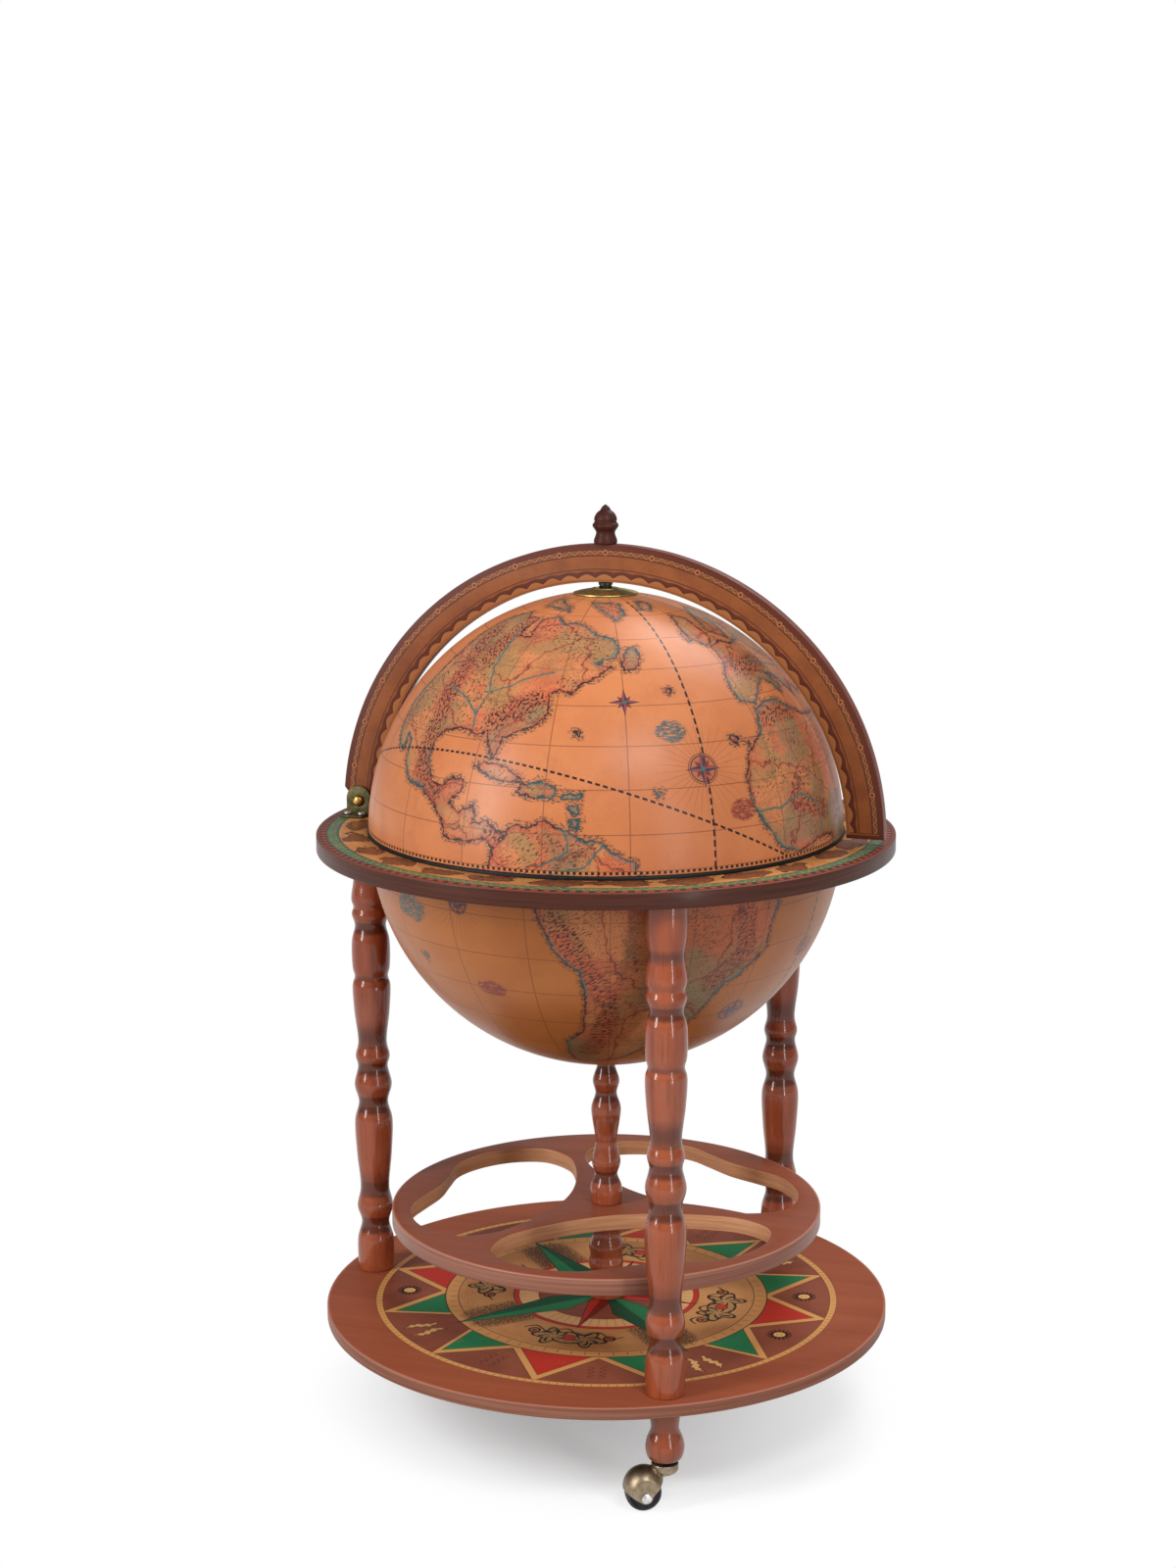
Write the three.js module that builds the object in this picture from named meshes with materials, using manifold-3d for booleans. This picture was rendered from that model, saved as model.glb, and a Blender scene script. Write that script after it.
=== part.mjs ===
// Floor globe bar: a hinged globe in a horizon ring, on three turned legs over a shelf and a base on casters.
// Millimetres, +Z up. The origin is on the floor under the column, +X runs from the hinge of the
// meridian arc to its free end, and the hinge pin lies along Y with its head on the -Y side.

import * as THREE from 'three';
import { mergeVertices } from 'three/addons/utils/BufferGeometryUtils.js';
import Module from 'manifold-3d';

const wasm = await Module();
wasm.setup();

// Fits
const fitGap = 0.3;
const runGap = 0.6;
const overrun = 4;

// Facets round each kind of piece
const globeFacets = 40;
const turnedFacets = 10;
const pinFacets = 12;
const wheelFacets = 16;
const smallFacets = 8;
const nutSides = 6;
const spanSteps = 2;
const legSteps = 1;

// Globe
const bowlRadius = 204.8;
const domeOverhang = 0.7;
const domeRadius = bowlRadius + domeOverhang;
const globeWall = 4;
const domeCentreRise = 0.3;
const gasketHeight = 3.2;
const gasketInset = 5.3;
const gasketLip = 1.7;
const gasketRounding = 1.1;

// Horizon ring
const ringWidth = 45.15;
const ringThickness = 13.8;

// Stand, from the floor up
const casterHeight = 41.4;
const footHeight = 48.3;
const baseThickness = 10.2;
const legHeight = 413;
const shelfRise = 72.6;
const shelfThickness = 14.3;

// Stand, in plan
const legRadius = 17;
const baseMargin = 27.1;
const shelfClearance = 14.8;
const footRadius = 16.2;
const spoolRadius = 17.5;
const spindleRadius = 13.85;
const legAngles = { hinge: Math.PI, front: -Math.PI / 3, rear: Math.PI / 3 };

// Rods, studs and dowels
const studRadius = 3;
const studInLeg = 25;
const studInFoot = 15;
const dowelRadius = 5;
const dowelInLeg = 22;
const dowelInRing = 8;
const rodRadius = 3;
const nutRadius = 6.5;
const nutHeight = 5;
const nutFlangeRadius = 11;
const nutFlangeThickness = 1.6;
const rodEnd = 2.5;
const seatRadius = 13;

// Bottle shelf openings, as shares of the shelf radius: how far out, and how far to each side
const openingShares = [
  [0.194, 0], [0.215, 0.189], [0.284, 0.41], [0.368, 0.557], [0.515, 0.641], [0.641, 0.61],
  [0.741, 0.531], [0.815, 0.42], [0.851, 0.3], [0.841, 0.163], [0.825, 0],
];
const openingSteps = 32;

// Meridian arc
const arcClearance = 6.8;
const arcWidth = 32.2;
const arcThickness = 12;
const arcCentreRise = 2.3;
const arcCentreShift = 1.6;
const arcEndRise = 5.5;
const arcNotchRise = 24;
const arcSteps = 40;

// Hinge
const hingeRise = 12.5;
const hingeInset = 16.8;
const heelRadius = 11.2;
const heelShoulderAngle = (5 / 6) * Math.PI;
const pinRadius = 3;
const pinHeadRadius = 5;
const pinHeadHeight = 3.6;
const hingeNutRadius = 6.4;
const hingeNutHeight = 4;
const pinEnd = 1;
const washerRadius = 7;
const washerThickness = 1;
const bracketWidth = 22.8;
const bracketArchRise = 1.85;
const bracketThickness = 2;
const flangeDepth = 18;
const screwSpacing = 13;
const screwRadius = 1.6;
const screwHeadRadius = 3.6;
const screwHeadHeight = 1.9;
const screwLength = 9;

// Pole
const poleRodRadius = 3;
const poleRodInFinial = 12;
const poleHoleRadius = 4.2;
const poleCapRadius = 27.5;
const poleCapEdge = 1;
const poleCapBossRadius = 9;
const poleCapBossHeight = 3.4;
const poleSpacerRadius = 6.15;
const poleNutRadius = 8;
const poleNutHeight = 5;
const poleRodEnd = 2;
const finialRadius = 11.2;
const finialHeight = 33.7;

// Tray and floor inside the bowl, whose levels and holes are shares of the bowl's radius
const trayDropShare = 0.1465;
const floorDropShare = 0.576;
const wellShare = 0.254;
const glassHoleShare = 0.176;
const glassCircleShare = 0.645;
const glassCount = 6;
const trayThickness = 8;
const floorThickness = 6;
const trayClearance = 0.5;

// Caster
const wheelClearance = 0.9;
const hubDish = 1.5;
const hubRadius = 6;
const axleRadius = 2.2;
const axleCapRadius = 4.1;
const axleCapThickness = 1.4;
const headRadius = 11.3;
const headTopGap = 2;
const headRimWidth = 1.7;
const headRecess = 2.2;
const stemRadius = 4.2;
const stemCollarRadius = 8.8;
const stemCollarThickness = 1.4;
const stemRivetRadius = 5.4;
const stemRivetThickness = 1.6;
const stemInFoot = 25;
const headTaperRadius = 7;
const casterTurn = 209.5 / 180 * Math.PI;
const casterAngles = { hinge: Math.PI / 3, front: casterTurn, rear: casterTurn };

// Caster wheel and hood, as shares of the caster's height
const casterShares = {
  wheelRadius: 0.36232,
  wheelWidth: 0.36232,
  wheelFlat: 0.1087,
  wheelEdgeDrop: 0.0507,
  wheelDishRadius: 0.2657,
  casterTrail: 0.44444,
  hoodBallRadius: 0.4251,
  hoodBallRise: 0.1159,
  hoodBallInset: 0.0193,
  hoodCheekWidth: 0.6763,
  hoodBossRadius: 0.1353,
  hoodFrontLip: 0.1329,
  hoodBackLip: 0.1812,
  headWall: 0.1425,
  headDepth: 0.2367,
};

// Turned outlines, as shares of the piece's height and of its largest radius
const legShares = [
  [0, 0.96], [0.07, 0.96], [0.109, 0.738], [0.144, 0.957], [0.186, 0.774], [0.268, 0.939],
  [0.345, 1], [0.385, 0.78], [0.425, 0.994], [0.467, 0.793], [0.49, 0.909], [0.52, 0.762],
  [0.594, 0.945], [0.652, 1], [0.67, 0.884], [0.691, 0.988], [0.753, 0.994], [0.785, 0.823],
  [0.811, 0.982], [0.826, 0.89], [0.843, 0.994], [0.894, 0.854], [0.937, 0.994], [1, 0.994],
];
const spindleShares = [
  [0, 1], [0.11, 1], [0.191, 0.732], [0.272, 0.928], [0.419, 0.698], [0.647, 0.951],
  [0.749, 0.687], [0.834, 0.853], [0.933, 0.581], [1, 0.528],
];
const spoolShares = [
  [0, 1], [0.069, 1], [0.248, 0.743], [0.406, 0.886], [0.523, 0.811], [0.634, 0.874],
  [0.785, 0.697], [1, 0.697],
];
const footShares = [
  [0, 0.679], [0.06, 0.883], [0.242, 1], [0.403, 0.914], [0.575, 0.722], [0.766, 0.765], [1, 0.827],
];
const finialShares = [
  [0, 0.893], [0.089, 0.884], [0.282, 0.72], [0.46, 1], [0.558, 0.839], [0.623, 0.875],
  [0.772, 0.679], [0.849, 0.411], [0.92, 0.286], [1, 0],
];

// Levels and radii that follow
const baseUnderside = casterHeight + footHeight;
const baseTop = baseUnderside + baseThickness;
const ringUnderside = baseTop + legHeight;
const ringTop = ringUnderside + ringThickness;
const shelfUnderside = baseTop + shelfRise;
const shelfTop = shelfUnderside + shelfThickness;
const bowlCentre = ringTop;
const bowlBottom = bowlCentre - bowlRadius;
const domeCentre = ringTop + domeCentreRise;
const ringInner = bowlRadius + fitGap;
const ringRadius = ringInner + ringWidth;
const legCircle = ringInner + legRadius;
const baseRadius = legCircle + baseMargin;
const shelfRadius = legCircle - legRadius - shelfClearance;
const arcInner = domeRadius + arcClearance;
const arcOuter = arcInner + arcWidth;
const arcCentre = ringTop + arcCentreRise;
const hingeReach = arcInner - arcCentreShift + hingeInset;
const hingeLevel = ringTop + hingeRise;

// Each share of a table times the size that the table follows
function sized(shares, size) {
  return Object.fromEntries(Object.entries(shares).map(([name, share]) => [name, share * size]));
}
const {
  wheelRadius, wheelWidth, wheelFlat, wheelEdgeDrop, wheelDishRadius, casterTrail, hoodBallRadius, hoodBallRise,
  hoodBallInset, hoodCheekWidth, hoodBossRadius, hoodFrontLip, hoodBackLip, headWall, headDepth,
} = sized(casterShares, casterHeight);

// Materials, with the colours of the photograph
function material(color, roughness, metalness) {
  return new THREE.MeshStandardMaterial({ color, roughness, metalness });
}
const glossyWood = material(0x8c4a34, 0.3, 0);
const printedWood = material(0xa5673a, 0.4, 0);
const globePaper = material(0xc98152, 0.35, 0);
const plyWood = material(0xc89169, 0.6, 0);
const antiqueBrass = material(0x82735a, 0.4, 0.9);
const brightBrass = material(0xc8a05a, 0.25, 1);
const steel = material(0xb8b8b8, 0.35, 1);
const blackRubber = material(0x1c1b1a, 0.6, 0);
const greyRubber = material(0x3c3a3e, 0.5, 0);

// A geometry with its shared vertices merged and its collapsed triangles left out
function welded(geometry) {
  const bare = geometry.clone();
  bare.deleteAttribute('normal');
  bare.deleteAttribute('uv');
  const merged = mergeVertices(bare);
  const old = merged.index.array;
  const kept = [];
  for (let i = 0; i < old.length; i += 3) {
    const [a, b, c] = [old[i], old[i + 1], old[i + 2]];
    if (a !== b && b !== c && c !== a) kept.push(a, b, c);
  }
  merged.setIndex(kept);
  return merged;
}

// A solid for cutting and joining
function solid(geometry) {
  const { index, attributes } = welded(geometry);
  return new wasm.Manifold(new wasm.Mesh({
    numProp: 3,
    vertProperties: new Float32Array(attributes.position.array),
    triVerts: new Uint32Array(index.array),
  }));
}

// The geometry of a solid
function shaped(manifold) {
  const { vertProperties, triVerts } = manifold.getMesh();
  const geometry = new THREE.BufferGeometry();
  geometry.setAttribute('position', new THREE.BufferAttribute(vertProperties, 3));
  geometry.setIndex(new THREE.BufferAttribute(triVerts, 1));
  return geometry;
}

// A revolve about Z of [radius, height] points, run up the outer side
function turned(points, facets) {
  const profile = points.map(([radius, height]) => new THREE.Vector2(radius, height));
  return new THREE.LatheGeometry(profile, facets).rotateX(Math.PI / 2);
}

// A cylinder along Z between two levels
function rod(radius, low, high, facets = smallFacets) {
  return turned([[0, low], [radius, low], [radius, high], [0, high]], facets);
}

// A flat ring between two levels
function collar(inner, outer, low, high, facets = smallFacets) {
  return turned([[inner, low], [outer, low], [outer, high], [inner, high], [inner, low]], facets);
}

// A hexagon nut whose bore clears the given radius
function hexagonNut(bore, radius, low, high) {
  return collar(bore / Math.cos(Math.PI / nutSides), radius, low, high, nutSides);
}

// A turned outline through its shares from a level up, smooth between them
function turnedOutline(shares, height, radius, low, steps = spanSteps) {
  const keys = shares.map(([up, out]) => new THREE.Vector3(out * radius, low + up * height, 0));
  const curve = new THREE.CatmullRomCurve3(keys, false, 'centripetal');
  return curve.getPoints((keys.length - 1) * steps).map((point) => [Math.max(point.x, 0), point.y]);
}

// A plate cut from a shape in X and Z, centred on Y = 0
function upright(shape, thickness, curveSegments = smallFacets) {
  const geometry = new THREE.ExtrudeGeometry(shape, { depth: thickness, bevelEnabled: false, curveSegments });
  return geometry.rotateX(Math.PI / 2).translate(0, thickness / 2, 0);
}

// A level plate cut from a shape in X and Y, standing on Z = 0
function slab(shape, thickness, curveSegments) {
  return new THREE.ExtrudeGeometry(shape, { depth: thickness, bevelEnabled: false, curveSegments });
}

// Every sub-part is added here under its name
const globeBar = new THREE.Group();
function add(name, geometry, look, parent = globeBar) {
  const mesh = new THREE.Mesh(welded(geometry), look);
  mesh.name = name;
  parent.add(mesh);
  return mesh;
}

// A group that stands on one of the three leg axes
function legGroup(angle, turn = 0) {
  const group = new THREE.Group();
  group.position.set(legCircle * Math.cos(angle), legCircle * Math.sin(angle), 0);
  group.rotation.z = turn;
  globeBar.add(group);
  return group;
}

// Holes at the three leg axes, each made by its own cutter
function cutAtLegs(body, cutter) {
  let cut = body;
  for (const angle of Object.values(legAngles)) {
    const tool = cutter.clone().translate(legCircle * Math.cos(angle), legCircle * Math.sin(angle), 0);
    cut = cut.subtract(solid(tool));
  }
  return cut;
}

// Base disc with its stud holes and the tie rod's hole
function baseDisc() {
  const disc = solid(rod(baseRadius, baseUnderside, baseTop, globeFacets));
  const studHole = rod(studRadius + fitGap, baseUnderside - overrun, baseTop + overrun);
  const rodHole = rod(rodRadius + fitGap, baseUnderside - overrun, baseTop + overrun);
  return shaped(cutAtLegs(disc, studHole).subtract(solid(rodHole)));
}

// Leg: a turned post with a stud hole below and a dowel hole above
function leg() {
  const height = legHeight - 2 * fitGap;
  const low = baseTop + fitGap;
  const outside = turnedOutline(legShares, height, legRadius, low, legSteps);
  const studTop = low + studInLeg + fitGap;
  const dowelFoot = low + height - dowelInLeg - fitGap;
  return turned([
    [0, studTop],
    [studRadius + fitGap, studTop],
    [studRadius + fitGap, low],
    ...outside,
    [dowelRadius + fitGap, low + height],
    [dowelRadius + fitGap, dowelFoot],
    [0, dowelFoot],
  ], turnedFacets);
}

// Bun foot: a turned foot with a stud hole above and the caster stem's hole below
function bunFoot() {
  const height = footHeight - 2 * fitGap;
  const low = casterHeight + fitGap;
  const outside = turnedOutline(footShares, height, footRadius, low);
  const studFoot = low + height - studInFoot - fitGap;
  const stemTop = low + stemInFoot + fitGap;
  return turned([
    [0, stemTop],
    [stemRadius + fitGap, stemTop],
    [stemRadius + fitGap, low],
    ...outside,
    [studRadius + fitGap, low + height],
    [studRadius + fitGap, studFoot],
    [0, studFoot],
  ], turnedFacets);
}

// Stud from the foot through the base disc into the leg
function legStud() {
  return rod(studRadius, baseUnderside - studInFoot, baseTop + studInLeg);
}

// Dowel from the leg into the ring
function ringDowel() {
  return rod(dowelRadius, ringUnderside - dowelInLeg, ringUnderside + dowelInRing);
}

// Caster stem: rivet head under the hood's head, collar in its recess, stem up into the foot
const headTop = casterHeight - headTopGap;
const headFoot = headTop - headDepth;
const collarFoot = headTop - headRecess + fitGap;
function casterStem() {
  const rivetTop = headFoot - fitGap;
  return turned([
    [0, rivetTop - stemRivetThickness],
    [stemRivetRadius, rivetTop - stemRivetThickness],
    [stemRivetRadius, rivetTop],
    [stemRadius, rivetTop],
    [stemRadius, collarFoot],
    [stemCollarRadius, collarFoot],
    [stemCollarRadius, collarFoot + stemCollarThickness],
    [stemRadius, collarFoot + stemCollarThickness],
    [stemRadius, casterHeight + stemInFoot],
    [0, casterHeight + stemInFoot],
  ], smallFacets);
}

// The wheel's outline about its axle, out by a clearance, with its radius across the facets
function wheelOutline(clear) {
  const half = wheelWidth / 2 + clear;
  const flat = wheelFlat + clear;
  const tread = wheelRadius / Math.cos(Math.PI / wheelFacets) + clear;
  const edge = tread - wheelEdgeDrop;
  return [[edge, -half], [tread, -flat], [tread, flat], [edge, half]];
}

// A wheel lies on its axle: Z of the revolve becomes the axle direction Y
function onAxle(geometry) {
  return geometry.rotateX(Math.PI / 2).translate(casterTrail, 0, wheelRadius);
}

// Caster wheel with a crowned tread and dished sides, standing on one of its facets
function casterWheel() {
  const half = wheelWidth / 2;
  const bore = axleRadius + fitGap;
  const wheel = turned([
    [bore, -half],
    [hubRadius, -half],
    [wheelDishRadius, -half + hubDish],
    ...wheelOutline(0),
    [wheelDishRadius, half - hubDish],
    [hubRadius, half],
    [bore, half],
    [bore, -half],
  ], wheelFacets);
  return onAxle(wheel.rotateZ(Math.PI / wheelFacets));
}

// Axle with a round cap on each side of the hood
const cheekFace = hoodCheekWidth / 2;
function casterAxle() {
  const capIn = cheekFace + fitGap;
  const capOut = capIn + axleCapThickness;
  return onAxle(turned([
    [0, -capOut],
    [axleCapRadius, -capOut],
    [axleCapRadius, -capIn],
    [axleRadius, -capIn],
    [axleRadius, capIn],
    [axleCapRadius, capIn],
    [axleCapRadius, capOut],
    [0, capOut],
  ], smallFacets));
}

// Caster hood: a ball over the wheel with flat cheeks drawn down to the axle, and the swivel head
function casterHood() {
  const ballX = casterTrail - hoodBallInset;
  const ballZ = wheelRadius + hoodBallRise;
  const ball = solid(new THREE.SphereGeometry(hoodBallRadius, wheelFacets, smallFacets)
    .translate(ballX, 0, ballZ));

  const side = new THREE.Shape();
  side.moveTo(casterTrail + wheelRadius + overrun, wheelRadius + hoodFrontLip);
  side.lineTo(casterTrail + wheelRadius + overrun, ballZ + hoodBallRadius + overrun);
  side.lineTo(0, ballZ + hoodBallRadius + overrun);
  side.lineTo(0, headFoot);
  side.lineTo(casterTrail - hoodBallRadius + hoodBossRadius, wheelRadius + hoodBackLip);
  side.lineTo(casterTrail - hoodBossRadius, wheelRadius);
  side.absarc(casterTrail, wheelRadius, hoodBossRadius, Math.PI, -Math.PI / 3, false);
  side.closePath();
  const cheeks = solid(upright(side, hoodCheekWidth));

  const head = solid(turned([
    [stemRadius + fitGap, headFoot],
    [headTaperRadius, headFoot],
    [headRadius, headTop - headWall],
    [headRadius, headTop],
    [headRadius - headRimWidth, headTop],
    [headRadius - headRimWidth, headTop - headRecess],
    [stemRadius + fitGap, headTop - headRecess],
    [stemRadius + fitGap, headFoot],
  ], wheelFacets));
  const recess = headRadius - headRimWidth;
  const headSpace = solid(rod(recess, headTop - headRecess, headTop + overrun, wheelFacets));
  const stemSpace = solid(rod(stemRadius + fitGap, headFoot - overrun, headTop + overrun, wheelFacets));
  const rivetSpace = solid(rod(stemRivetRadius + runGap, wheelRadius, headFoot, wheelFacets));

  const wheelSpace = solid(onAxle(turned([
    [0, -wheelWidth / 2 - wheelClearance],
    ...wheelOutline(wheelClearance),
    [0, wheelWidth / 2 + wheelClearance],
  ], wheelFacets)));
  const spaceWidth = wheelWidth + 2 * wheelClearance;
  const spaceLength = 2 * (wheelRadius + wheelClearance);
  const below = solid(new THREE.BoxGeometry(spaceLength, spaceWidth, wheelRadius)
    .translate(casterTrail, 0, wheelRadius / 2));
  const axleHole = solid(onAxle(rod(axleRadius + fitGap, -hoodCheekWidth, hoodCheekWidth)));

  const body = ball.intersect(cheeks).add(head);
  return shaped(body.subtract(headSpace).subtract(stemSpace).subtract(rivetSpace)
    .subtract(wheelSpace).subtract(below).subtract(axleHole));
}

// Column spool between base disc and shelf
function columnSpool() {
  const height = shelfRise - 2 * fitGap;
  const low = baseTop + fitGap;
  const outside = turnedOutline(spoolShares, height, spoolRadius, low);
  const bore = rodRadius + fitGap;
  return turned([[bore, low], ...outside, [bore, low + height], [bore, low]], turnedFacets);
}

// Column spindle between shelf and bowl
function columnSpindle() {
  const low = shelfTop + fitGap;
  const height = bowlBottom - fitGap - low;
  const outside = turnedOutline(spindleShares, height, spindleRadius, low);
  const bore = rodRadius + fitGap;
  return turned([[bore, low], ...outside, [bore, low + height], [bore, low]], turnedFacets);
}

// How far a flat seat inside a shell lies from the shell's centre
function seatHeight(inside) {
  return Math.sqrt(inside * inside - seatRadius * seatRadius);
}

// Tie rod through the column, with a flanged nut under the base and one inside the bowl
const bowlFloor = bowlCentre - seatHeight(bowlRadius - globeWall);
const nutStack = nutFlangeThickness + nutHeight;
function tieRod() {
  return rod(rodRadius, baseUnderside - fitGap - nutStack - rodEnd, bowlFloor + fitGap + nutStack + rodEnd);
}
function flangedNut(seat, direction) {
  const bore = rodRadius + fitGap;
  const flange = seat + direction * (fitGap + nutFlangeThickness);
  const end = flange + direction * nutHeight;
  const start = seat + direction * fitGap;
  const outline = [
    [bore, start],
    [nutFlangeRadius, start],
    [nutFlangeRadius, flange],
    [nutRadius, flange],
    [nutRadius, end],
    [bore, end],
    [bore, start],
  ];
  return turned(direction > 0 ? outline : outline.reverse(), 2 * nutSides);
}

// Bottle shelf: a disc with three scalloped openings, each facing a leg
function openingPath(angle) {
  const near = openingShares.map(([out, aside]) => [out * shelfRadius, aside * shelfRadius]);
  const far = near.slice(1, -1).reverse().map(([out, aside]) => [out, -aside]);
  const points = [...near, ...far].map(([out, aside]) => new THREE.Vector3(
    out * Math.cos(angle) - aside * Math.sin(angle),
    out * Math.sin(angle) + aside * Math.cos(angle),
    0,
  ));
  const curve = new THREE.CatmullRomCurve3(points, true, 'centripetal');
  return new THREE.Path(curve.getSpacedPoints(openingSteps).map((point) => new THREE.Vector2(point.x, point.y)));
}
function bottleShelf() {
  const outline = new THREE.Shape().absarc(0, 0, shelfRadius, 0, 2 * Math.PI, false);
  const rodHole = new THREE.Path().absarc(0, 0, rodRadius + fitGap, 0, 2 * Math.PI, true);
  outline.holes.push(rodHole);
  for (const angle of Object.values(legAngles)) outline.holes.push(openingPath(angle));
  return slab(outline, shelfThickness, globeFacets / 2).translate(0, 0, shelfUnderside);
}

// Horizon ring with its blind dowel holes below and its screw holes above
const flangeInner = arcThickness / 2 + washerThickness + 2 * fitGap;
const screwReach = flangeInner + bracketThickness + flangeDepth / 2;
const screwPlaces = [-1, 1].flatMap((side) => [-1, 1].map((end) => ({
  x: -hingeReach + end * screwSpacing / 2,
  y: side * screwReach,
})));
function horizonRing() {
  const ring = solid(collar(ringInner, ringRadius, ringUnderside, ringTop, globeFacets));
  const dowelHole = rod(dowelRadius + fitGap, ringUnderside - overrun, ringUnderside + dowelInRing + fitGap);
  let cut = cutAtLegs(ring, dowelHole);
  for (const { x, y } of screwPlaces) {
    const hole = rod(screwRadius + fitGap, ringTop - screwLength - fitGap, ringTop + overrun);
    cut = cut.subtract(solid(hole.translate(x, y, 0)));
  }
  return shaped(cut);
}

// Rim gasket: a black strip over the joint of ring and bowl, with a rounded lip
function rimGasket() {
  const low = ringTop + fitGap;
  const high = ringTop + gasketHeight;
  const inner = bowlRadius - gasketInset;
  const outer = bowlRadius + gasketLip;
  return turned([
    [inner, low],
    [outer, low],
    [outer, high - gasketRounding],
    [outer - gasketRounding, high],
    [inner, high],
    [inner, low],
  ], globeFacets);
}

// Points of a circle of the given radius in the plane of a profile, between two angles above level
function sweep(radius, centre, from, to, steps) {
  const points = [];
  for (let i = 0; i <= steps; i += 1) {
    const angle = from + (to - from) * i / steps;
    points.push([radius * Math.cos(angle), centre + radius * Math.sin(angle)]);
  }
  return points;
}

// Lower bowl: a half sphere with the tie rod's hole in its bottom and a flat seat inside for the nut
const shellSteps = 7;
const liningSteps = 5;
const bowlInside = bowlRadius - globeWall;
const domeInside = domeRadius - globeWall;
const bowlLining = sweep(bowlInside, bowlCentre, 0, -Math.acos(seatRadius / bowlInside), liningSteps);
function lowerBowl() {
  const hole = rodRadius + fitGap;
  const foot = -Math.acos(hole / bowlRadius);
  const outer = sweep(bowlRadius, bowlCentre, foot, 0, shellSteps);
  return turned([...outer, ...bowlLining, [hole, bowlFloor], outer[0]], globeFacets);
}

// Dome: the lid half, with the pole rod's hole in its top and a flat seat inside for the nut
function domeShell() {
  const rim = gasketHeight + fitGap - domeCentreRise;
  const crown = Math.acos(poleHoleRadius / domeRadius);
  const seat = Math.acos(seatRadius / domeInside);
  const outer = sweep(domeRadius, domeCentre, Math.asin(rim / domeRadius), crown, shellSteps);
  const inner = sweep(domeInside, domeCentre, seat, Math.asin(rim / domeInside), liningSteps);
  return turned([...outer, [poleHoleRadius, domeSoffit], ...inner, outer[0]], globeFacets);
}

// A level board in the bowl whose edge follows the facets of the bowl's inside
function boardRadius(level) {
  const next = bowlLining.findIndex(([, height]) => height <= level);
  const [outRadius, outLevel] = bowlLining[next - 1];
  const [inRadius, inLevel] = bowlLining[next];
  return inRadius + (outRadius - inRadius) * (level - inLevel) / (outLevel - inLevel) - trayClearance;
}
function bowlBoard(high, thickness) {
  const low = high - thickness;
  return turned([[0, low], [boardRadius(low), low], [boardRadius(high), high], [0, high]], globeFacets);
}
function glassTray() {
  const top = ringTop - trayDropShare * bowlRadius;
  const high = top + overrun;
  const low = top - trayThickness - overrun;
  const well = rod(wellShare * bowlRadius, low, high, wheelFacets);
  const circle = glassCircleShare * bowlRadius;
  let tray = solid(bowlBoard(top, trayThickness)).subtract(solid(well));
  for (let i = 0; i < glassCount; i += 1) {
    const angle = 2 * Math.PI * i / glassCount;
    const hole = rod(glassHoleShare * bowlRadius, low, high, pinFacets);
    tray = tray.subtract(solid(hole.translate(circle * Math.cos(angle), circle * Math.sin(angle), 0)));
  }
  return shaped(tray);
}
function trayFloor() {
  return bowlBoard(ringTop - floorDropShare * bowlRadius, floorThickness);
}

// Meridian arc in X and Z: free end at +X, rounded heel about the hinge pin at -X
function meridianArc() {
  const end = arcEndRise - arcCentreRise;
  const notch = arcNotchRise - arcCentreRise;
  const pinX = -hingeReach - arcCentreShift;
  const pinZ = hingeRise - arcCentreRise;
  const heelFoot = pinZ - heelRadius;
  const shape = new THREE.Shape();
  const outer = sweep(arcOuter, 0, Math.asin(end / arcOuter), Math.PI - Math.asin(notch / arcOuter), arcSteps);
  const inner = sweep(arcInner, 0, Math.PI - Math.asin(heelFoot / arcInner), Math.asin(end / arcInner), arcSteps);
  const heel = [];
  for (let i = 0; i <= smallFacets; i += 1) {
    const angle = heelShoulderAngle + (1.5 * Math.PI - heelShoulderAngle) * i / smallFacets;
    heel.push([pinX + heelRadius * Math.cos(angle), pinZ + heelRadius * Math.sin(angle)]);
  }
  shape.setFromPoints([...outer, ...heel, ...inner].map(([x, z]) => new THREE.Vector2(x, z)));
  const pinHole = new THREE.Path().absarc(pinX, pinZ, pinRadius + fitGap, 0, 2 * Math.PI, true);
  shape.holes.push(pinHole);
  const arc = solid(upright(shape, arcThickness).translate(arcCentreShift, 0, arcCentre));
  const poleHole = solid(rod(poleRodRadius + fitGap, arcSoffit - overrun, arcCrown + overrun));
  return shaped(arc.subtract(poleHole));
}

// Pole: finial, rod, spacer, cap and retaining nut, one above the other on the globe's axis
const arcCrown = arcCentre + arcOuter;
const arcSoffit = arcCentre + arcInner;
const domeTop = domeCentre + domeRadius;
function finial() {
  const low = arcCrown + fitGap;
  const height = finialHeight - fitGap;
  const outside = turnedOutline(finialShares, height, finialRadius, low);
  const hole = poleRodRadius + fitGap;
  const holeTop = low + poleRodInFinial + fitGap;
  return turned([[0, holeTop], [hole, holeTop], [hole, low], ...outside], turnedFacets);
}
function capLevel(radius, above) {
  return domeCentre + Math.sqrt(domeRadius * domeRadius - radius * radius) + above;
}
const capTop = domeTop + poleCapBossHeight;
function poleCap() {
  const hole = poleHoleRadius;
  const middle = (poleCapRadius + poleCapBossRadius) / 2;
  return turned([
    [hole, capLevel(hole, fitGap)],
    [poleCapBossRadius, capLevel(poleCapBossRadius, fitGap)],
    [poleCapRadius, capLevel(poleCapRadius, fitGap)],
    [poleCapRadius, capLevel(poleCapRadius, fitGap + poleCapEdge)],
    [middle, capLevel(middle, fitGap + 2 * poleCapEdge)],
    [poleCapBossRadius, capTop],
    [hole, capTop],
    [hole, capLevel(hole, fitGap)],
  ], wheelFacets);
}
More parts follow.
